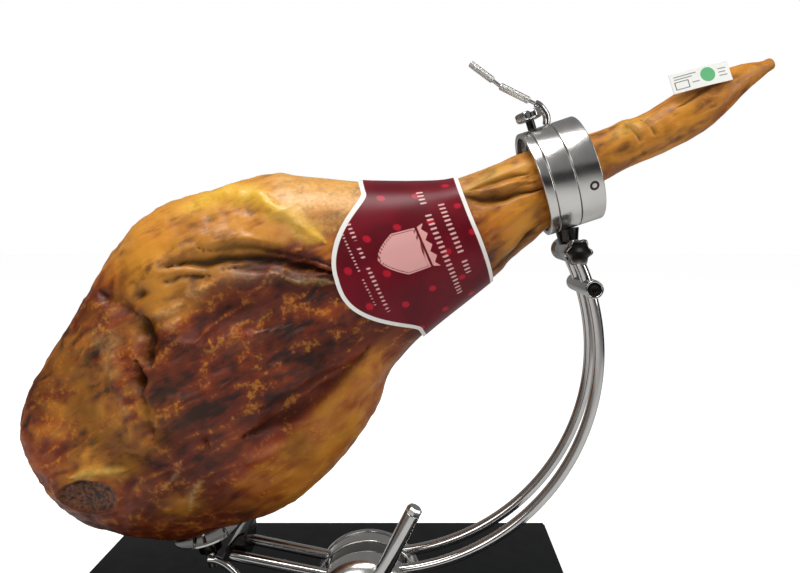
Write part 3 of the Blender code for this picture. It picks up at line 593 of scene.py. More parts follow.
middle_ring = -COLLAR_LENGTH / 2 + COLLAR_BANDS[0][1] + COLLAR_BANDS[1][1] / 2
neck_foot = collar_frame @ Vector((0, COLLAR_RADIUS - 0.0005, middle_ring))
neck_aim = hinge_centre - neck_foot
neck_outline = ((0, 0), (0.0105, 0), (0.0080, neck_aim.length - 0.004), (0, neck_aim.length - 0.004))
neck = turned("collar_neck", rounded(neck_outline, 0.0005), turned_frame(neck_foot, neck_aim))
# Painted reflection: the neck's near-black stands for the dark that its polished steel reflects.
dress(neck, "stand", "dark_steel", black_and_shaded_steel, "ring_neck")

around = radians(20)
outward = Vector((cos(around), sin(around), 0))
screw_along = COLLAR_LENGTH / 2 - COLLAR_BANDS[2][1] * 0.40
screw_seat = collar_frame @ (outward * (COLLAR_RADIUS - 0.0026) + Vector((0, 0, screw_along)))
screw_frame = turned_frame(screw_seat, collar_frame.to_3x3() @ outward)
set_screw = turned("set_screw_head", rounded(socket_outline(0.0040, 0.0028, 0.0020), 0.0003),
                   screw_frame, 48)
dress(set_screw, "stand", "dark_steel", black_and_shaded_steel, "set_screw")
print("collar length in mm", round(COLLAR_LENGTH * 1000, 1))

# %% [markdown]
# ## Lock knob and bent handle
# A short stem carries a seven-lobed knob on top of the collar. Behind it a thin handle bends
# away to the left, with two grips. Their diamond knurling is real relief: two families of fine
# grooves that cross.

# %% Knob and handle
up_from_collar = collar_frame.to_3x3() @ Vector((0, -1, 0))
stem_foot = collar_frame @ Vector((0, -(COLLAR_RADIUS + 0.0003), -0.0100))
stem = rod("knob_stem", 0.0038, 0.0074, turned_frame(stem_foot, up_from_collar), 0.0002, 48)
# Painted reflection: the stem's near-black stands for the dark that its polished steel reflects.
dress(stem, "lock_knob", "dark_steel", black_and_shaded_steel, "lock_stem")
knob_frame = turned_frame(stem_foot + up_from_collar * 0.0077, up_from_collar)
knob = lobed("knob_grip", 0.0120, 7, 0.16, 0.0080, knob_frame)
dress(knob, "lock_knob", "polished_steel", polished_steel, "lock_knob")

HANDLE_Y = 0.0100
HANDLE_BENDS = ((0.1984, 0.4604), (0.1932, 0.4628), (0.1671, 0.4754), (0.1609, 0.4801),
                (0.1405, 0.4948))
TAB_BENDS = ((0.2090, 0.4490), (0.2056, 0.4548), (0.2019, 0.4588), (0.1984, 0.4604))


def smooth_route(points, steps=6):
    """Points along a curve that passes through the given ones."""
    made = []
    padded = [points[0] * 2 - points[1], *points, points[-1] * 2 - points[-2]]
    for a, b, c, d in zip(padded, padded[1:], padded[2:], padded[3:]):
        for step in range(steps):
            u = step / steps
            made.append(0.5 * (b * 2 + (c - a) * u + (a * 2 - b * 5 + c * 4 - d) * u**2
                               + (b * 3 - a - c * 3 + d) * u**3))
    return made + [points[-1]]


def knurled(name, radius, length, placed):
    """A grip with crossed grooves, smooth for a short way at both ends."""
    height = np.linspace(0, length, 110)
    angle = np.linspace(0, 2 * pi, 96, endpoint=False)
    turn, rise = angle[:, None], height[None, :]
    pitch = 2 * pi * rise / 0.0016
    cross = np.abs(np.sin(6 * turn + pitch / 2)) * np.abs(np.sin(6 * turn - pitch / 2))
    fade = np.clip(np.minimum(rise, length - rise) / 0.0012, 0, 1)
    reach = radius * np.sqrt(np.clip(1 - (1 - fade) ** 2 * 0.6, 0, 1)) - 0.00035 * (1 - cross) * fade
    grid = np.stack([reach * np.cos(turn), reach * np.sin(turn), rise + 0 * turn], -1)
    return piece_from_grid(name, grid, placed, sharp=60)


tab_points = [collar_frame @ Vector((-HANDLE_Y, -(COLLAR_RADIUS + 0.0006), 0.0052))]
tab_points += [above_board(x, z, HANDLE_Y) for x, z in TAB_BENDS]
tab = swept("handle_foot", smooth_route(tab_points), 0.0034)
dress(tab, "stand", "polished_steel", polished_steel, "handle_tab")
handle_joints = [above_board(x, z, HANDLE_Y) for x, z in HANDLE_BENDS]
for name, index, radius in (("handle_rod", 0, 0.0016), ("handle_link", 2, 0.0016)):
    a, b = handle_joints[index], handle_joints[index + 1]
    bar = rod(name + "_bar", radius, (b - a).length, turned_frame(a, b - a), 0.0002, 32)
    dress(bar, "stand", "brushed_steel", brushed_steel, name)
for name, index, radius in (("handle_grip_inner", 1, 0.0033), ("handle_grip_outer", 3, 0.0031)):
    a, b = handle_joints[index], handle_joints[index + 1]
    grip = knurled(name + "_knurled", radius, (b - a).length, turned_frame(a, b - a))
    dress(grip, "stand", "brushed_steel", brushed_steel, name)
print("grip points", len(grip.data.vertices))

# %% [markdown]
# ## The cup under the thigh
# A shallow dish on a dark socket takes the weight. Three pins stand up into the meat. A bent
# strut ties the dish to the front tube, and a dark block ties it to the back one.

# %% Cup
cup_axis = Vector((sin(CUP_TILT), 0, cos(CUP_TILT)))
cup_frame = turned_frame(above_board(*CUP_CENTRE), cup_axis)
cup_curve = (CUP_RADIUS**2 + CUP_DEPTH**2) / (2 * CUP_DEPTH)


def cup_height(radius):
    return cup_curve - sqrt(cup_curve**2 - radius**2) - CUP_DEPTH


inside = [(radius, cup_height(radius)) for radius in np.linspace(CUP_RADIUS, 0, 16)]
outside = [(radius, cup_height(radius) - 0.0016) for radius in np.linspace(0, CUP_RADIUS, 16)]
dish = turned("dish", outside + inside, cup_frame, 128)
dress(dish, "stand", "polished_steel", polished_steel, "cup_dish")
under = cup_frame @ Matrix.Rotation(pi, 4, "X")
socket_start = CUP_DEPTH + 0.0019
socket = rod("dish_socket", 0.0105, 0.0100, under @ Matrix.Translation((0, 0, socket_start)), 0.001)
dress(socket, "stand", "dark_steel", black_and_shaded_steel, "cup_socket")
post = rod("dish_post", 0.0055, 0.0160, under @ Matrix.Translation((0, 0, socket_start + 0.0103)), 0.001)
dress(post, "stand", "polished_steel", polished_steel, "cup_post")
for number, degree in enumerate((70, 190, 310), start=1):
    x, y = 0.0150 * cos(radians(degree)), 0.0150 * sin(radians(degree))
    placed = cup_frame @ Matrix.Translation((x, y, cup_height(0.0167) + 0.0003))
    outline = ((0, 0), (0.0017, 0), (0.00136, 0.0072), (0, 0.0120))
    spike = turned(f"dish_pin_{number}", rounded(outline, 0.0003), placed, 24)
    dress(spike, "stand", "polished_steel", polished_steel, f"cup_spike_{number}")

STRUT_BENDS = ((-0.0960, 0.0520), (-0.0885, 0.0510), (-0.0800, 0.0465), (-0.0720, 0.0385),
               (-0.0660, 0.0290))
strut = swept("dish_strut", smooth_route([above_board(x, z, -0.0252) for x, z in STRUT_BENDS]), 0.0034)
dress(strut, "stand", "polished_steel", polished_steel, "cup_strut")

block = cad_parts["cup_block"]
block.data.materials.clear()
block.data.materials.append(black_and_shaded_steel)
soften = block.modifiers.new("soften", "BEVEL")
soften.width = 0.0006
soften.segments = 2
print("dish faces", len(dish.data.polygons))

# %% [markdown]
# ## Measuring the leg
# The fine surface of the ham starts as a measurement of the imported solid. Rays run out from a
# core line in planes square to the leg and find the skin. The stations are evenly spaced along
# the outline, and the small facets are smoothed away.

# %% Measure the leg
HAM_STATIONS = 370
HAM_COLUMNS = 264


def tree_of(name):
    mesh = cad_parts[name].data
    corners = [vertex.co for vertex in mesh.vertices]
    return BVHTree.FromPolygons(corners, [list(face.vertices) for face in mesh.polygons])


def reach(tree, along, off, direction):
    origin = LEG_ROOT + along * LEG_ALONG + off * LEG_OFF
    return tree.ray_cast(Vector(origin), Vector(direction))[3] or 0.0


def softened(values, times, axis, periodic):
    """Smooth an array along one axis, a quarter from each neighbour, some number of times."""
    for _ in range(times):
        if periodic:
            sides = np.roll(values, 1, axis) + np.roll(values, -1, axis)
        else:
            padded = np.concatenate([values[:1], values, values[-1:]])
            sides = padded[:-2] + padded[2:]
        values = values * 0.5 + sides * 0.25
    return values


ham_tree = tree_of("ham")
corners = np.array([vertex.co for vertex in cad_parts["ham"].data.vertices])
leg_place = (corners - LEG_ROOT) @ LEG_ALONG
butt, foot = leg_place.min() + 0.0042, leg_place.max() - 0.0042
coarse = np.linspace(butt, foot, 300)
up = np.array([reach(ham_tree, s, LEG_CORE, LEG_OFF) for s in coarse])
down = np.array([reach(ham_tree, s, LEG_CORE, -LEG_OFF) for s in coarse])
half = (up + down) / 2
run = np.concatenate([[0], np.cumsum(np.hypot(np.diff(coarse), np.diff(half)))])
station = np.interp(np.linspace(0, run[-1], HAM_STATIONS), run, coarse)
core = softened(np.interp(station, coarse, LEG_CORE + (up - down) / 2), 60, 0, False)

even = 2 * pi * (np.arange(HAM_COLUMNS) + 0.5) / HAM_COLUMNS
ham_angle = even + 0.40 * np.sin(even)      # 0 at the back, 90 degrees on top, 180 in front
spoke = np.cos(ham_angle)[:, None] * LEG_DEPTH + np.sin(ham_angle)[:, None] * LEG_OFF
radius = np.array([[reach(ham_tree, s, c, d) for d in spoke] for s, c in zip(station, core)])
radius = softened(softened(radius, 36, 1, True), 36, 0, False)
print("leg stations", radius.shape, "largest radius in mm", round(radius.max() * 1000, 1))

# %% [markdown]
# ## Fields on the leg
# Every fold, streak and patch of colour is a field over the leg: a smooth number from 0 to 1,
# worked out from the place in the leg's own frame. A route with a half width makes a crease or
# a ridge, and a round blob makes a swelling, a hollow or a patch of colour.

# %% Fields
def smooth_noise(points, size, seed):
    """Smooth lumps about size wide, from -1 to 1, at points in space."""
    place = points / size + seed * 7.31
    cell = np.floor(place).astype(np.int64)
    share = place - cell
    share = share * share * (3 - 2 * share)
    total = np.zeros(points.shape[:-1])
    for corner in np.ndindex(2, 2, 2):
        near = cell + np.array(corner)
        mark = (near[..., 0] * 73856093) ^ (near[..., 1] * 19349663) ^ (near[..., 2] * 83492791)
        mark = ((mark + seed * 977) * 1274126177) & 0x7FFFFFFF
        mark = ((mark ^ (mark >> 15)) * 60493) & 0xFFFFFF
        weight = np.prod(np.where(np.array(corner) == 1, share, 1 - share), axis=-1)
        total += weight * (mark / 0x7FFFFF - 1)
    return total


def step_up(values, low, high):
    share = np.clip((values - low) / (high - low), 0, 1)
    return share * share * (3 - 2 * share)


skin = (
    LEG_ROOT
    + station[:, None, None] * LEG_ALONG
    + core[:, None, None] * LEG_OFF
    + radius[..., None] * spoke[None]
)
along_step = np.gradient(skin, axis=0)
around_step = np.roll(skin, -1, 1) - np.roll(skin, 1, 1)
outward = np.cross(around_step, along_step)
outward /= np.linalg.norm(outward, axis=-1, keepdims=True)
if (outward * spoke[None]).sum() < 0:
    outward = -outward
leg_s = np.broadcast_to(station[:, None], radius.shape)
leg_t = (skin - LEG_ROOT) @ LEG_OFF
leg_y = skin[..., 1]
front = step_up(-leg_y, -0.010, 0.006)
rise = (leg_t - core[:, None]) / np.abs(radius).mean(1)[:, None]
wander = 0.0035 * smooth_noise(skin, 0.018, 3)
wander_off = 0.0035 * smooth_noise(skin, 0.018, 4)
# Space drawn out along the leg, which bends a little, as muscle fibres do.
fibre = np.stack([leg_s * 0.20, leg_t + 2 * wander, leg_y + 2 * wander_off], -1)


def route_field(route, half_width, taper=0.25):
    """A field that is 1 on a route in (along, off) and fades over its half width."""
    best = np.full(leg_s.shape, 1.0)
    share_along = np.zeros(leg_s.shape)
    lengths = [np.hypot(b[0] - a[0], b[1] - a[1]) for a, b in zip(route, route[1:])]
    done = 0.0
    for (s0, t0), (s1, t1), length in zip(route, route[1:], lengths):
        ds, dt = s1 - s0, t1 - t0
        share = ((leg_s + wander - s0) * ds + (leg_t + wander_off - t0) * dt) / length**2
        share = np.clip(share, 0, 1)
        far = np.hypot(leg_s + wander - s0 - share * ds, leg_t + wander_off - t0 - share * dt)
        share_along = np.where(far < best, (done + share * length) / sum(lengths), share_along)
        best = np.minimum(best, far)
        done += length
    ends = np.clip(np.minimum(share_along, 1 - share_along) / taper, 0.15, 1) if taper else 1.0
    return np.exp(-((best / (half_width * ends)) ** 2)) * front


def blob(s, t, across, high, turn=0.0):
    """A round patch with its centre at (s, t), turned by some degrees."""
    ds, dt = leg_s + wander - s, leg_t + wander_off - t
    c, n = cos(radians(turn)), sin(radians(turn))
    return np.exp(-(((ds * c + dt * n) / across) ** 2 + ((dt * c - ds * n) / high) ** 2)) * front


print("skin points", leg_s.size)

# %% [markdown]
# ## Sculpting the ham
# A cured ham shrinks unevenly as it dries. The fat on the rump stays as soft ridges, the lean
# sinks into long folds, and the hip leaves a crease with a hollow on its left. Each crease or
# ridge is a route and a depth, and the finer unevenness is drawn out along the muscle.

# %% Sculpt the ham
# Route, half width, depth inwards, and how dark the painted shade at the bottom is.
CREASES = (
    (((0.060, 0.333), (0.081, 0.327), (0.113, 0.315), (0.141, 0.295), (0.180, 0.262)), 0.0062, 0.0085, 0.95),
    (((0.095, 0.333), (0.125, 0.318), (0.160, 0.290), (0.186, 0.262)), 0.0034, 0.0034, 0.70),
    (((0.100, 0.309), (0.125, 0.297), (0.150, 0.276), (0.176, 0.254)), 0.0024, 0.0026, 0.60),
    (((0.058, 0.322), (0.074, 0.317), (0.092, 0.311)), 0.0028, 0.0036, 0.85),
    (((-0.004, 0.348), (0.010, 0.332), (0.021, 0.312)), 0.0075, 0.0050, 0.45),
    (((0.024, 0.308), (0.025, 0.290), (0.016, 0.270)), 0.0062, 0.0080, 0.90),
    (((0.008, 0.280), (0.000, 0.262), (-0.004, 0.250)), 0.0034, 0.0070, 0.85),
    (((-0.004, 0.252), (-0.008, 0.240), (-0.018, 0.216)), 0.0050, 0.0045, 0.50),
    (((0.046, 0.181), (0.090, 0.176), (0.131, 0.176), (0.172, 0.190)), 0.0095, 0.0055, 0.72),
    (((0.070, 0.193), (0.105, 0.188), (0.150, 0.188)), 0.0040, 0.0026, 0.55),
    (((0.098, 0.226), (0.125, 0.212), (0.152, 0.206)), 0.0050, 0.0018, 0.30),
    (((-0.045, 0.215), (-0.030, 0.190), (-0.028, 0.160)), 0.0090, 0.0030, 0.45),
    (((0.296, 0.270), (0.315, 0.252), (0.335, 0.241), (0.366, 0.233)), 0.0030, 0.0050, 0.85),
    (((0.312, 0.262), (0.332, 0.255), (0.360, 0.250)), 0.0022, 0.0030, 0.50),
    (((0.290, 0.193), (0.318, 0.195), (0.350, 0.206)), 0.0040, 0.0040, 0.75),
    (((0.452, 0.247), (0.456, 0.237), (0.458, 0.222)), 0.0022, 0.0028, 0.55),
    (((0.466, 0.243), (0.470, 0.232), (0.470, 0.220)), 0.0018, 0.0022, 0.45),
    (((0.542, 0.238), (0.520, 0.238), (0.498, 0.235)), 0.0016, 0.0020, 0.45),
)
# Route, half width, height outwards, and how pale its crest is.
RIDGES = (
    (((0.105, 0.372), (0.133, 0.362), (0.156, 0.343), (0.173, 0.316), (0.190, 0.283)), 0.0065, 0.0036, 0.0),
    (((0.070, 0.345), (0.105, 0.337), (0.140, 0.312)), 0.0080, 0.0024, 0.0),
    (((0.070, 0.306), (0.100, 0.300), (0.142, 0.280), (0.172, 0.258)), 0.0050, 0.0030, 0.15),
    (((0.140, 0.279), (0.160, 0.266), (0.178, 0.252)), 0.0028, 0.0022, 0.50),
    (((0.066, 0.302), (0.090, 0.303)), 0.0042, 0.0030, 0.55),
    (((0.030, 0.303), (0.062, 0.298)), 0.0040, 0.0030, 0.55),
    (((0.036, 0.290), (0.054, 0.287)), 0.0042, 0.0030, 0.30),
    (((0.035, 0.280), (0.060, 0.262), (0.110, 0.246)), 0.0050, 0.0020, 0.0),
    (((0.055, 0.245), (0.090, 0.247), (0.130, 0.240)), 0.0040, 0.0018, 0.0),
    (((0.035, 0.161), (0.052, 0.157), (0.072, 0.154)), 0.0055, 0.0024, 0.10),
    (((-0.010, 0.300), (-0.018, 0.270), (-0.028, 0.236)), 0.0060, 0.0022, 0.20),
    (((-0.104, 0.224), (-0.076, 0.215), (-0.052, 0.205)), 0.0045, 0.0030, 0.20),
    (((-0.006, 0.189), (-0.016, 0.181), (-0.040, 0.172)), 0.0024, 0.0016, 0.60),
    (((-0.002, 0.165), (-0.018, 0.157), (-0.030, 0.146)), 0.0026, 0.0018, 0.55),
    (((0.300, 0.262), (0.325, 0.250), (0.360, 0.243)), 0.0030, 0.0022, 0.0),
    (((0.300, 0.225), (0.340, 0.224), (0.380, 0.222)), 0.0070, 0.0018, 0.0),
)
# Centre, size along and across, turn in degrees, height outwards.
SWELLINGS = (
    (0.056, 0.335, 0.018, 0.010, -20, 0.0035),
    (-0.055, 0.272, 0.030, 0.040, 20, -0.0060),
    (-0.088, 0.245, 0.022, 0.030, 0, -0.0030),
    (0.034, 0.322, 0.0060, 0.0045, 0, -0.0060),
    (0.000, 0.262, 0.0055, 0.0070, 30, -0.0050),
    (0.017, 0.191, 0.0032, 0.0032, 0, -0.0050),
    (-0.034, 0.154, 0.0130, 0.0060, -10, 0.0020),
    (0.140, 0.140, 0.0400, 0.0140, 20, 0.0020),
    (0.455, 0.246, 0.0080, 0.0045, 0, 0.0026),
    (0.524, 0.219, 0.0200, 0.0060, 0, 0.0012),
)
BONE_CENTRE = (-0.1870, 0.1225)          # X and height above the board
BONE_SIZE = (0.0262, 0.0160)

bone_x = (skin[..., 0] - BONE_CENTRE[0] + wander * 0.5) / BONE_SIZE[0]
bone_z = (skin[..., 2] - BOARD_TOP - BONE_CENTRE[1] + wander_off * 0.5) / BONE_SIZE[1]
bone_ring = np.hypot(bone_x, bone_z)
bone = step_up(-bone_ring, -1.08, -0.92) * front
bone_rim = np.exp(-(((bone_ring - 1.05) / 0.14) ** 2)) * front


def crested(points, size, seed):
    """Noise with sharp crests and round valleys, from -1 to 1."""
    return 1 - 2.4 * np.abs(smooth_noise(points, size, seed))


under_label = step_up(leg_s, 0.172, 0.196) * step_up(-leg_s, -0.318, -0.300)
thigh = step_up(-leg_s, -0.34, -0.26)
slim = 0.35 + 0.65 * thigh                # the shank and the foot are finer than the thigh
wrinkles = 0.55 * crested(fibre, 0.0105, 18) + 0.30 * crested(fibre, 0.0058, 19)
wrinkles += 0.30 * crested(skin, 0.0085, 20) + 0.25 * smooth_noise(skin, 0.0050, 15)
relief = 0.0016 * smooth_noise(skin, 0.045, 11) * slim
relief += 0.0012 * smooth_noise(fibre, 0.014, 12) * slim
relief += 0.0006 * smooth_noise(skin, 0.014, 13)
relief += 0.0010 * wrinkles * slim
back_folds = smooth_noise(fibre + 0.4, 0.022, 16) * (1 - front)
relief -= 0.0030 * np.clip(1 - np.abs(back_folds) * 6, 0, 1) * (1 - front) * slim
# Painted shade: each crease darkens its bottom and, more faintly, a wider band round it.
dark = np.zeros(leg_s.shape)
for route, half_width, depth, shade in CREASES:
    crease = route_field(route, half_width)
    relief -= depth * crease
    dark = np.maximum(dark, shade * route_field(route, half_width * 0.85))
    dark = np.maximum(dark, 0.45 * shade * route_field(route, half_width * 1.9))
ridge_line = np.zeros(leg_s.shape)
pale = np.zeros(leg_s.shape)
for route, half_width, height, waxy in RIDGES:
    ridge = route_field(route, half_width)
    relief += height * ridge
    ridge_line = np.maximum(ridge_line, ridge)
    pale = np.maximum(pale, waxy * ridge)
for s, t, across, high, turn, height in SWELLINGS:
    relief += height * blob(s, t, across, high, turn)
relief -= 0.0022 * bone
relief += 0.0018 * bone_rim
crumbs = blob(-0.112, 0.262, 0.010, 0.024) + blob(-0.020, 0.245, 0.010, 0.022) + 0.5 * bone_rim
relief += 0.0012 * np.clip(crumbs, 0, 1) * smooth_noise(skin, 0.0035, 17)
relief = np.where(relief > 0, relief * (1 - under_label), relief * (1 - 0.85 * under_label))
relief -= 0.0004 * under_label
ham_points = skin + relief[..., None] * outward

ham = piece_from_grid("cured_ham", ham_points.transpose(1, 0, 2), sharp=180)
print("ham relief in mm", round(relief.min() * 1000, 1), round(relief.max() * 1000, 1))

# %% [markdown]
# ## Colours of the ham
# The fields become attributes that the material reads: yellow fat on the rump ridge, gold
# where the skin is thin, orange-red patches, brown bone and pale waxy fat. Some are painted
# light: a painted amber and gold glow on the thin lower rim, a painted pale highlight on the top
# by the label, painted gold glints on the wrinkle crests, and near-black painted shade in the
# folds, the pits and the lower thigh, whose field also holds some darker mottling of the meat.
# Noise breaks their borders, as no patch on cured meat has a clean edge.

# %% Colour the ham
broken = 0.5 * smooth_noise(skin, 0.012, 21) + 0.5 * smooth_noise(fibre, 0.005, 22)
mottle = smooth_noise(skin, 0.026, 23)


def ragged(values, amount=0.45):
    """Break the border of a field by noise."""
    return np.clip(values + amount * broken * np.clip(values * (1 - values) * 4, 0, 1), 0, 1)


def strongest(*fields):
    """The largest of several fields at every point."""
    return np.maximum.reduce(fields)


rump = step_up(leg_s, -0.01, 0.05) * step_up(-leg_s, -0.26, -0.235)
top_band = step_up(rise + 0.12 * mottle, 0.42, 0.80) * rump
shank = step_up(leg_s, 0.285, 0.330)
hip_edge = step_up(-leg_s - 0.25 * np.abs(rise - 0.3) * 0.1, 0.092, 0.132)
hollow = np.clip(blob(-0.050, 0.275, 0.042, 0.055, 20) + 0.7 * blob(-0.070, 0.220, 0.040, 0.030), 0, 1)
shaded_low_band = step_up(-rise, 0.25, 0.75) * thigh

lean = step_up(leg_s, -0.03, 0.03) * step_up(-rise, -0.32, 0.05) * step_up(rise, -0.92, -0.70) * thigh
# The lower rim band carries painted light: amber and gold stand for light glowing through the thin meat.
glowing_lower_rim = step_up(-rise, 0.60, 0.98) * step_up(leg_s, -0.02, 0.05) * step_up(-leg_s, -0.20, -0.16)

fat = strongest(
    route_field(RIDGES[0][0], 0.0085, 0.1),
    0.9 * blob(0.118, 0.366, 0.024, 0.009, -18),
    0.55 * route_field(RIDGES[11][0], 0.0040),
    0.45 * blob(0.452, 0.240, 0.014, 0.007),
    0.45 * blob(0.330, 0.262, 0.030, 0.006, -12),
)
gold = strongest(
    0.95 * top_band,
    0.55 * hollow,
    0.80 * blob(-0.078, 0.222, 0.034, 0.018, 10),
    shank * (0.72 + 0.30 * mottle),
    0.75 * blob(0.056, 0.335, 0.020, 0.012, -20),
    0.75 * blob(-0.010, 0.240, 0.009, 0.013),
    0.60 * blob(-0.034, 0.152, 0.018, 0.010, -10),
    # Painted glow of light through the thin lower rim.
    0.60 * step_up(-rise, 0.86, 1.0) * glowing_lower_rim,
    0.45 * np.clip(mottle * 2 - 0.5, 0, 1) * thigh * step_up(rise, -0.2, 0.3),
)
orange = strongest(
    0.95 * blob(0.062, 0.360, 0.016, 0.009),
    0.90 * blob(0.143, 0.325, 0.024, 0.008, -40),
    0.70 * blob(0.044, 0.287, 0.012, 0.005),
    0.55 * hip_edge * step_up(rise, -0.35, 0.05),
    0.45 * np.clip(mottle * 2 - 0.35, 0, 1) * thigh,
    0.40 * blob(0.080, 0.245, 0.030, 0.012),
    0.60 * blob(0.322, 0.228, 0.020, 0.012),
    0.5 * route_field(RIDGES[9][0], 0.0060),
)
pale = strongest(
    pale,
    # Painted highlight: this pale patch and the pale on the top band near the label stand for a gloss
    # highlight; the other entries are waxy fat, scars and pale patches.
    0.70 * blob(0.176, 0.330, 0.026, 0.007, -50),
    0.50 * blob(-0.014, 0.296, 0.010, 0.020),
    0.45 * blob(0.330, 0.272, 0.045, 0.006),
    0.55 * top_band * step_up(leg_s, 0.150, 0.185),
)
brown_top = 0.75 * blob(0.094, 0.350, 0.022, 0.012, -10) * np.clip(0.6 + broken, 0, 1)
gold *= 1 - brown_top
# Painted shade in the two pits, in the folds at the back, and a dark spot low on the butt; the darker
# mottling and the bone's speckle are the meat's own darker tone.
dark = strongest(
    dark,
    0.75 * blob(0.034, 0.322, 0.007, 0.005),
    0.85 * blob(0.017, 0.191, 0.0034, 0.0034),
    0.55 * blob(-0.085, 0.153, 0.012, 0.005),
    0.35 * np.clip(-mottle * 1.8 - 0.2, 0, 1) * thigh * (1 - top_band),
    # Painted shade: the lower part of the thigh is darker, as the lamps light it from above.
    0.30 * shaded_low_band * (1 - glowing_lower_rim),
    0.30 * bone * np.clip(0.5 + broken, 0, 1),
    0.35 * (1 - front) * np.clip(1 - np.abs(back_folds) * 4, 0, 1),
)

HAM_FIELDS = {
    "crest": 0.5 + 0.5 * wrinkles,
    "fat": ragged(fat),
    "gold": ragged(gold, 0.6),
    "orange": ragged(orange),
    "painted_rim_glow": ragged(0.9 * glowing_lower_rim),
    "pale": ragged(pale, 0.6),
    "bone": bone,
    "lean": ragged(lean),
    "dark": ragged(dark, 0.3),
    "moist": np.clip(0.30 + 0.45 * top_band + 0.4 * ridge_line + 0.3 * mottle - 0.4 * hollow, 0, 1),
}
for name, values in HAM_FIELDS.items():
    layer = ham.data.attributes.new(name, "FLOAT", "POINT")
    ordered = np.clip(values, 0, 1).T.astype(np.float32).ravel()
    layer.data.foreach_set("value", ordered)

MEAT_DEEP = linear(44, 15, 4)
MEAT_BROWN = linear(100, 33, 6)
MEAT_RUST = linear(150, 66, 12)
GOLD_AND_PAINTED_LIGHT = linear(210, 140, 40)
MEAT_ORANGE = linear(178, 74, 14)
RIM_GLOW_AMBER = linear(136, 48, 8)
FAT_YELLOW = linear(234, 184, 58)
PALE_FAT_AND_HIGHLIGHT = linear(228, 184, 116)
BONE_BROWN = linear(134, 82, 50)
PAINTED_SHADE_AND_DARK_TONE = linear(24, 12, 8)


def make_meat():
    material, tree, shader = new_material("cured_meat_look")
    lie_along = {"turn": (0, LEG_TILT, 0), "stretch": (0.22, 1, 1)}
    grain = noise_at(tree, 190.0, 6.0, 0.70, **lie_along)
    patches = noise_at(tree, 38.0, 4.0, 0.6)
    flecks = noise_at(tree, 300.0, 4.0, 0.65)
    crest = field(tree, "crest")
    tone = maths(tree, "ADD", maths(tree, "MULTIPLY", crest, 0.35), maths(tree, "MULTIPLY", grain, 0.6))
    tone = maths(tree, "ADD", tone, maths(tree, "MULTIPLY", patches, 0.5))
    tone = maths(tree, "SUBTRACT", tone, maths(tree, "MULTIPLY", field(tree, "lean"), 0.09))
    colour = mixed(tree, ramp(tree, tone, 0.54, 0.74), MEAT_DEEP, MEAT_BROWN)
    colour = mixed(tree, ramp(tree, tone, 0.74, 0.96, 0.0, 0.8), colour, MEAT_RUST)
    # Painted glow of light through the thin lower rim, in amber.
    colour = mixed(tree, field(tree, "painted_rim_glow"), colour, RIM_GLOW_AMBER)
    orange = maths(tree, "MULTIPLY", field(tree, "orange"), ramp(tree, tone, 0.50, 0.80, 0.35, 1.0))
    colour = mixed(tree, orange, colour, MEAT_ORANGE)
    gold = maths(tree, "MULTIPLY", field(tree, "gold"), ramp(tree, tone, 0.52, 0.82, 0.25, 1.0))
    colour = mixed(tree, gold, colour, GOLD_AND_PAINTED_LIGHT)
    fat = maths(tree, "MULTIPLY", field(tree, "fat"), ramp(tree, flecks, 0.25, 0.6, 0.6, 1.0))
    colour = mixed(tree, fat, colour, FAT_YELLOW)
    # Painted glints: gold flecks on the wrinkle crests stand for small highlights.
    glints = ramp(tree, maths(tree, "MULTIPLY", flecks, crest), 0.38, 0.60, 0.0, 0.55)
    colour = mixed(tree, glints, colour, GOLD_AND_PAINTED_LIGHT)
    # Pale waxy fat and scars, and a painted highlight on the top near the label.
    pale = maths(tree, "MULTIPLY", field(tree, "pale"), ramp(tree, flecks, 0.35, 0.62, 0.35, 1.0))
    colour = mixed(tree, pale, colour, PALE_FAT_AND_HIGHLIGHT)
    bony = mixed(tree, ramp(tree, flecks, 0.40, 0.62), BONE_BROWN, MEAT_DEEP)
    colour = mixed(tree, field(tree, "bone"), colour, bony)
    # Near-black painted shade in the folds, the pits and the lower thigh, mixed with the meat's own darker
    # mottling.
    colour = mixed(tree, field(tree, "dark"), colour, PAINTED_SHADE_AND_DARK_TONE)
    dry = maths(tree, "SUBTRACT", ramp(tree, patches, 0.3, 0.7, 0.60, 0.44),
                maths(tree, "MULTIPLY", field(tree, "moist"), 0.18))
    bump = node(tree, "Bump", {"Height": grain, "Strength": 0.50, "Distance": 0.0016})
    finer = node(tree, "Bump", {"Height": flecks, "Strength": 0.30, "Distance": 0.0008,
                                "Normal": bump.outputs[0]})
    coat = maths(tree, "MULTIPLY", field(tree, "moist"), 0.25)
    sheen = ramp(tree, field(tree, "dark"), 0.1, 0.8, 0.34, 0.06)
    wire(tree, shader, Base_Color=colour, Roughness=dry, Normal=finer.outputs[0],
         Specular_IOR_Level=sheen, Coat_Weight=coat, Coat_Roughness=0.20,
         Subsurface_Weight=0.12, Subsurface_Scale=0.002)
    shader.inputs["Subsurface Radius"].default_value = (1.0, 0.35, 0.12)
    return material


dress(ham, "stand", "cured_meat", make_meat(), "ham")
print("ham fields", list(HAM_FIELDS))

# %% [markdown]
# ## The label
# A printed paper band with a soft sheen is wrapped round the shank, with a rounded tongue on the front.
# The print is worked out as distances in the paper's own plane: how far a point is from the
# edge, from the shield, from the rows of strokes and from the dots. The shader cuts those
# distances off sharply, so the print stays crisp on a fairly open mesh.

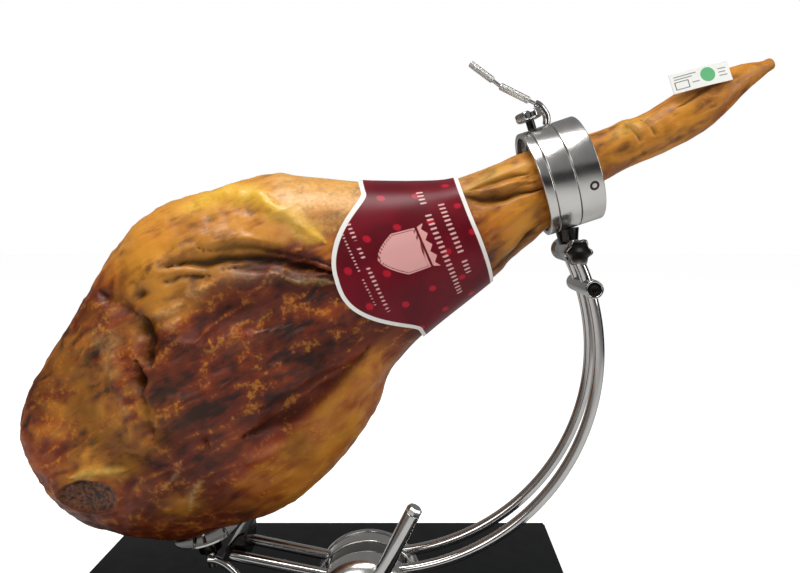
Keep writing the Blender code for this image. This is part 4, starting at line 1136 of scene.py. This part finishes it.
# %% Label
LABEL_FOOT_EDGE = (0.291, 0.309)
LABEL_BUTT_EDGE = (0.213, 0.233)
LABEL_TONGUE = 0.046
TONGUE_MIDDLE = radians(188)
TONGUE_UPPER = radians(60)
TONGUE_LOWER = radians(54)
TONGUE_POWER = 1.6
SECTION_HEIGHT = 0.0700                   # half height and half depth of the leg under the label
SECTION_DEPTH = 0.0480
SECTION_POWER = 2.25
LABEL_ROWS = 84
LABEL_BACK_ROWS = 14
LABEL_LIFT = 0.0013
PAPER_THICK = 0.0004


def label_edges(angle):
    up = (np.sin(angle) + 1) / 2
    foot_edge = LABEL_FOOT_EDGE[0] + (LABEL_FOOT_EDGE[1] - LABEL_FOOT_EDGE[0]) * up
    butt_edge = LABEL_BUTT_EDGE[0] + (LABEL_BUTT_EDGE[1] - LABEL_BUTT_EDGE[0]) * up
    turn = angle - TONGUE_MIDDLE
    share = np.minimum(np.abs(turn) / np.where(turn < 0, TONGUE_UPPER, TONGUE_LOWER), 1)
    return butt_edge - LABEL_TONGUE * np.cos(share * pi / 2) ** TONGUE_POWER, foot_edge


# The edges follow the turn of an ellipse-like section, so the ray's angle is turned to that.
stretch = SECTION_DEPTH / SECTION_HEIGHT
section_turn = np.arctan2(
    np.sign(np.sin(ham_angle)) * np.abs(np.sin(ham_angle) * stretch) ** (SECTION_POWER / 2),
    np.sign(np.cos(ham_angle)) * np.abs(np.cos(ham_angle)) ** (SECTION_POWER / 2),
) % (2 * pi)
label_start, label_end = label_edges(section_turn)


def label_points(share, lift):
    """Points across the paper for every angle round the leg, at one lift off the skin."""
    along = label_start[:, None] + (label_end - label_start)[:, None] * share[None, :]
    size = np.empty(along.shape)
    for column in range(HAM_COLUMNS):
        size[column] = np.interp(along[column], station, radius[:, column])
    off = np.interp(along, station, core)
    points = LEG_ROOT + along[..., None] * LEG_ALONG + off[..., None] * LEG_OFF
    return points + (size + lift)[..., None] * spoke[:, None, :], along


outer, label_s = label_points(np.linspace(0, 1, LABEL_ROWS), LABEL_LIFT + PAPER_THICK)
inner, inner_s = label_points(np.linspace(1, 0, LABEL_BACK_ROWS), LABEL_LIFT)
label = piece_from_grid("label_paper_band", np.concatenate([outer, inner], 1), wrap=(True, True))

middle_line = outer[:, LABEL_ROWS // 2]
steps_round = np.linalg.norm(np.roll(middle_line, -1, 0) - middle_line, axis=-1)
label_a = np.concatenate([[0], np.cumsum(steps_round)[:-1]])
label_a -= np.interp(pi, ham_angle, label_a)
slope_butt = np.gradient(label_start, label_a)
slope_foot = np.gradient(label_end, label_a)
whole_s = np.concatenate([label_s, inner_s], 1)
whole_a = np.broadcast_to(label_a[:, None], whole_s.shape)
edge = np.minimum(
    (whole_s - label_start[:, None]) / np.sqrt(1 + slope_butt**2)[:, None],
    (label_end[:, None] - whole_s) / np.sqrt(1 + slope_foot**2)[:, None],
)


def polygon_distance(s, a, corners):
    """Distance to a closed outline, negative inside it."""
    best = np.full(s.shape, 1.0)
    within = np.zeros(s.shape, bool)
    for (s0, a0), (s1, a1) in zip(corners, corners[1:] + corners[:1]):
        ds, da = s1 - s0, a1 - a0
        share = np.clip(((s - s0) * ds + (a - a0) * da) / (ds * ds + da * da), 0, 1)
        best = np.minimum(best, np.hypot(s - s0 - share * ds, a - a0 - share * da))
        if a0 != a1:
            crosses = ((a0 > a) != (a1 > a)) & (s < ds * (a - a0) / da + s0)
            within ^= crosses
    return np.where(within, -best, best)


SHIELD_TOP, SHIELD_SHOULDER, SHIELD_TIP, SHIELD_HALF = 0.2530, 0.2340, 0.2160, 0.0180
PRINT_SLOPE = -0.11                       # the print leans a little from straight round the leg
straight_s = whole_s - PRINT_SLOPE * whole_a
shield = [(SHIELD_TOP, -SHIELD_HALF), (SHIELD_TOP, SHIELD_HALF)]
for step in range(9):
    share = 1 - step / 4
    bow = SHIELD_TIP + (SHIELD_SHOULDER - SHIELD_TIP) * abs(share) ** 1.6
    shield.append((bow, SHIELD_HALF * share))
crest = polygon_distance(straight_s, whole_a, shield)
crest_line = np.abs(crest + 0.0015) - 0.00035
CROWN_LOW, CROWN_HIGH = 0.2550, 0.2612
crown = [(CROWN_LOW, 0.0180), (CROWN_LOW, -0.0180)]
for step in range(9):
    level = CROWN_HIGH if step % 2 == 0 else CROWN_LOW + 0.0024
    crown.append((level, -0.0205 + 0.0410 * step / 8))
pink = np.minimum(np.maximum(crest, -crest_line), polygon_distance(straight_s, whole_a, crown))

# Rows of strokes: place along the leg, half height, stroke pitch, and the ends of its runs.
PRINT_ROWS = (
    (0.2800, 0.0026, 0.0044, ((-0.036, 0.016), (0.023, 0.039))),
    (0.2672, 0.0026, 0.0044, ((-0.055, -0.036), (-0.028, 0.062))),
    (0.2065, 0.0018, 0.0034, ((-0.034, -0.019), (-0.014, -0.003), (0.002, 0.041))),
    (0.1990, 0.0011, 0.0026, ((-0.027, 0.004), (0.009, 0.032))),
)
strokes = np.full(whole_s.shape, 1.0)
for place, half_height, pitch, runs in PRINT_ROWS:
    for first, last in runs:
        phase = (whole_a - first) / pitch
        gap = np.abs(phase - np.floor(phase) - 0.5) * pitch - pitch * 0.21
        ends = np.maximum(first - whole_a, whole_a - last)
        band = np.abs(straight_s - place) - half_height
        strokes = np.minimum(strokes, np.maximum(np.maximum(band, gap), ends))

DOT_RADIUS = 0.0030
DOT_ROWS_APART = 0.026
DOTS_APART = 0.030
dot_place = whole_s + 0.004
dot_row = np.floor(dot_place / DOT_ROWS_APART)
shifted = whole_a + 0.013 * (dot_row % 2) + 0.006 * np.sin(dot_row * 4.0)
dots = np.hypot(dot_place % DOT_ROWS_APART - 0.013, shifted % DOTS_APART - 0.015) - DOT_RADIUS

for name, values in (("edge", edge), ("pink", pink), ("strokes", strokes), ("dots", dots)):
    layer = label.data.attributes.new(name, "FLOAT", "POINT")
    layer.data.foreach_set("value", np.ascontiguousarray(values, np.float32).ravel())


WHITE_EDGE = 0.0033


def make_paper():
    material, tree, shader = new_material("label_paper_look")

    def inside(name, limit, soft=0.00025):
        return ramp(tree, field(tree, name), limit - soft, limit + soft, 1.0, 0.0)

    tone = ramp(tree, noise_at(tree, 30.0, 2.0, 0.5), 0.35, 0.65)
    colour = mixed(tree, tone, linear(92, 8, 22), linear(110, 12, 28))
    colour = mixed(tree, inside("dots", 0.0, 0.0008), colour, linear(176, 24, 44))
    colour = mixed(tree, inside("pink", 0.0), colour, linear(224, 164, 160))
    colour = mixed(tree, inside("strokes", 0.0), colour, linear(224, 176, 172))
    colour = mixed(tree, inside("edge", WHITE_EDGE), colour, linear(238, 234, 228))
    rough = ramp(tree, noise_at(tree, 22.0, 2.0, 0.5), 0.3, 0.7, 0.30, 0.40)
    wire(tree, shader, Base_Color=colour, Roughness=rough, Specular_IOR_Level=0.22)
    return material


dress(label, "stand", "label_paper", make_paper(), "label_band")
print("label faces", len(label.data.polygons))

# %% [markdown]
# ## The foot tag
# A small white card lies along the foot. Its print is grey bars, one thin box and a green disc,
# cut from distances in the same way as the label's. The card is very slightly bent.

# %% Foot tag
TAG_LENGTH = 0.050
TAG_WIDTH = 0.017
TAG_THICK = 0.0006
TAG_PLACE = (0.4990, 0.2455, -0.0215)
TAG_LEAN = radians(-14)
TAG_RISE = radians(14)


def make_tag():
    across, high = np.meshgrid(np.linspace(0, TAG_LENGTH, 101), np.linspace(0, TAG_WIDTH, 35))
    bend = -0.0012 * np.sin(pi * across / TAG_LENGTH)
    face = np.stack([across, bend - TAG_THICK / 2, high], -1)
    back = np.stack([across, bend + TAG_THICK / 2, high], -1)[::-1]
    s, a, depth = TAG_PLACE
    base = Vector(LEG_ROOT + s * LEG_ALONG + a * LEG_OFF + depth * LEG_DEPTH)
    placed = Matrix.Translation(base) @ Matrix.Rotation(-TAG_RISE, 4, "Y") @ Matrix.Rotation(TAG_LEAN, 4, "X")
    grid = np.concatenate([face, back], 0)
    tag = piece_from_grid("tag_of_card", grid, placed, wrap=(True, False))
    length, height = grid[..., 0], grid[..., 2]
    disc = np.hypot(length - 0.031, height - 0.0095) - 0.0062
    box = np.maximum(np.abs(length - 0.0085) - 0.0055, np.abs(height - 0.0060) - 0.0032)
    bars = np.full(length.shape, 1.0)
    for level, first, last in ((0.0138, 0.003, 0.022), (0.0115, 0.003, 0.018), (0.0060, 0.017, 0.023),
                               (0.0120, 0.040, 0.047), (0.0090, 0.040, 0.046), (0.0060, 0.040, 0.047)):
        band = np.abs(height - level) - 0.0005
        bars = np.minimum(bars, np.maximum(band, np.maximum(first - length, length - last)))
    for name, values in (("disc", disc), ("box", np.abs(box) - 0.00035), ("bars", bars)):
        layer = tag.data.attributes.new(name, "FLOAT", "POINT")
        layer.data.foreach_set("value", np.ascontiguousarray(values, np.float32).ravel())
    return tag


def make_card():
    material, tree, shader = new_material("tag_card_look")
    colour = linear(236, 236, 230)
    for name, limit, ink in (("bars", 0.0, (150, 150, 148)), ("box", 0.0, (50, 52, 50)),
                             ("disc", 0.0, (96, 178, 120))):
        share = ramp(tree, field(tree, name), limit - 0.0002, limit + 0.0002, 1.0, 0.0)
        colour = mixed(tree, share, colour, linear(*ink))
    haze = ramp(tree, noise_at(tree, 60.0, 2.0, 0.5), 0.3, 0.7, 0.35, 0.5)
    wire(tree, shader, Base_Color=colour, Roughness=haze)
    return material


tag = dress(make_tag(), "stand", "tag_card", make_card(), "foot_tag")
print("tag faces", len(tag.data.polygons))

# %% [markdown]
# ## Light and camera
# The ham stands in a white room under large soft lamps. A flat grey world fills the shadows,
# and the camera sees it as white. Dark flags that the camera can't see give the polished steel
# its dark cores, because shiny metal shows only what surrounds it.

# %% Stage
ROOM_LIGHT = 0.22                  # the world's strength for everything but the camera
CAMERA_PLACE = (0.098, -0.556, 0.385)
CAMERA_DIP = 6.39                  # degrees below level
CAMERA_LENS = 27.9
CAMERA_SHIFT = -0.0275


def make_world():
    world = bpy.data.worlds.new("white_room")
    bpy.context.scene.world = world
    world.use_nodes = True
    tree = world.node_tree
    background = tree.nodes["Background"]
    path = node(tree, "LightPath")
    level = maths(tree, "ADD", maths(tree, "MULTIPLY", path.outputs["Is Camera Ray"], 0.78), ROOM_LIGHT)
    tree.links.new(level, background.inputs["Strength"])
    background.inputs["Color"].default_value = (1, 1, 1, 1)


def plane(name, centre, facing, width, height):
    shape = bmesh.new()
    bmesh.ops.create_grid(shape, x_segments=1, y_segments=1, size=0.5)
    bmesh.ops.scale(shape, vec=(width, height, 1), verts=shape.verts)
    mesh = bpy.data.meshes.new(name)
    shape.to_mesh(mesh)
    shape.free()
    made = bpy.data.objects.new(name, mesh)
    bpy.context.scene.collection.objects.link(made)
    made.matrix_world = turned_frame(Vector(centre), Vector(facing))
    return made


def make_floor():
    floor = plane("floor", (0, 0, -0.0005), (0, 0, 1), 12, 12)
    material, tree, shader = new_material("white_floor")
    path = node(tree, "LightPath")
    shader.inputs["Base Color"].default_value = (0.82, 0.82, 0.82, 1)
    shader.inputs["Roughness"].default_value = 0.9
    tree.links.new(path.outputs["Is Camera Ray"], shader.inputs["Emission Strength"])
    shader.inputs["Emission Color"].default_value = (0.8, 0.8, 0.8, 1)
    floor.data.materials.append(material)


def make_flag(name, centre, facing, width, height):
    flag = plane(name, centre, facing, width, height)
    material, tree, shader = new_material(name + "_cloth")
    shader.inputs["Base Color"].default_value = (0.015, 0.015, 0.015, 1)
    flag.data.materials.append(material)
    flag.visible_camera = False
    flag.visible_shadow = False
    flag.visible_diffuse = False


def make_lamp(name, place, target, size, power):
    light = bpy.data.lights.new(name, "AREA")
    light.shape = "RECTANGLE"
    light.size, light.size_y = size
    light.energy = power
    lamp = bpy.data.objects.new(name, light)
    bpy.context.scene.collection.objects.link(lamp)
    lamp.location = place
    lamp.rotation_euler = (Vector(target) - Vector(place)).to_track_quat("-Z", "Y").to_euler()
    lamp.visible_camera = False
    return lamp


make_world()
make_floor()
make_lamp("top_softbox", (-0.15, -0.30, 1.45), (0.02, 0.0, 0.25), (0.8, 0.5), 13)
make_lamp("front_softbox", (-0.55, -1.30, 0.95), (0.0, 0.0, 0.25), (0.7, 0.5), 4)
make_lamp("right_strip", (1.10, -0.45, 0.75), (0.20, 0.0, 0.30), (0.25, 0.9), 4)
make_flag("flag_front", (0.45, -1.55, 0.46), (0, 1, 0), 1.7, 0.62)
make_flag("flag_right", (1.5, 0.2, 0.30), (-1, 0, 0), 0.9, 0.9)
make_flag("flag_left", (-1.6, 0.3, 0.30), (1, 0, 0), 0.9, 0.9)

camera_data = bpy.data.cameras.new("camera")
camera_data.lens = CAMERA_LENS
camera_data.sensor_width = 36
camera_data.shift_x = CAMERA_SHIFT
camera = bpy.data.objects.new("camera", camera_data)
bpy.context.scene.collection.objects.link(camera)
camera.location = CAMERA_PLACE
camera.rotation_euler = (radians(90 - CAMERA_DIP), 0, 0)
bpy.context.scene.camera = camera
bpy.context.scene.view_settings.view_transform = "Standard"
print("camera", tuple(round(value, 3) for value in camera.location))
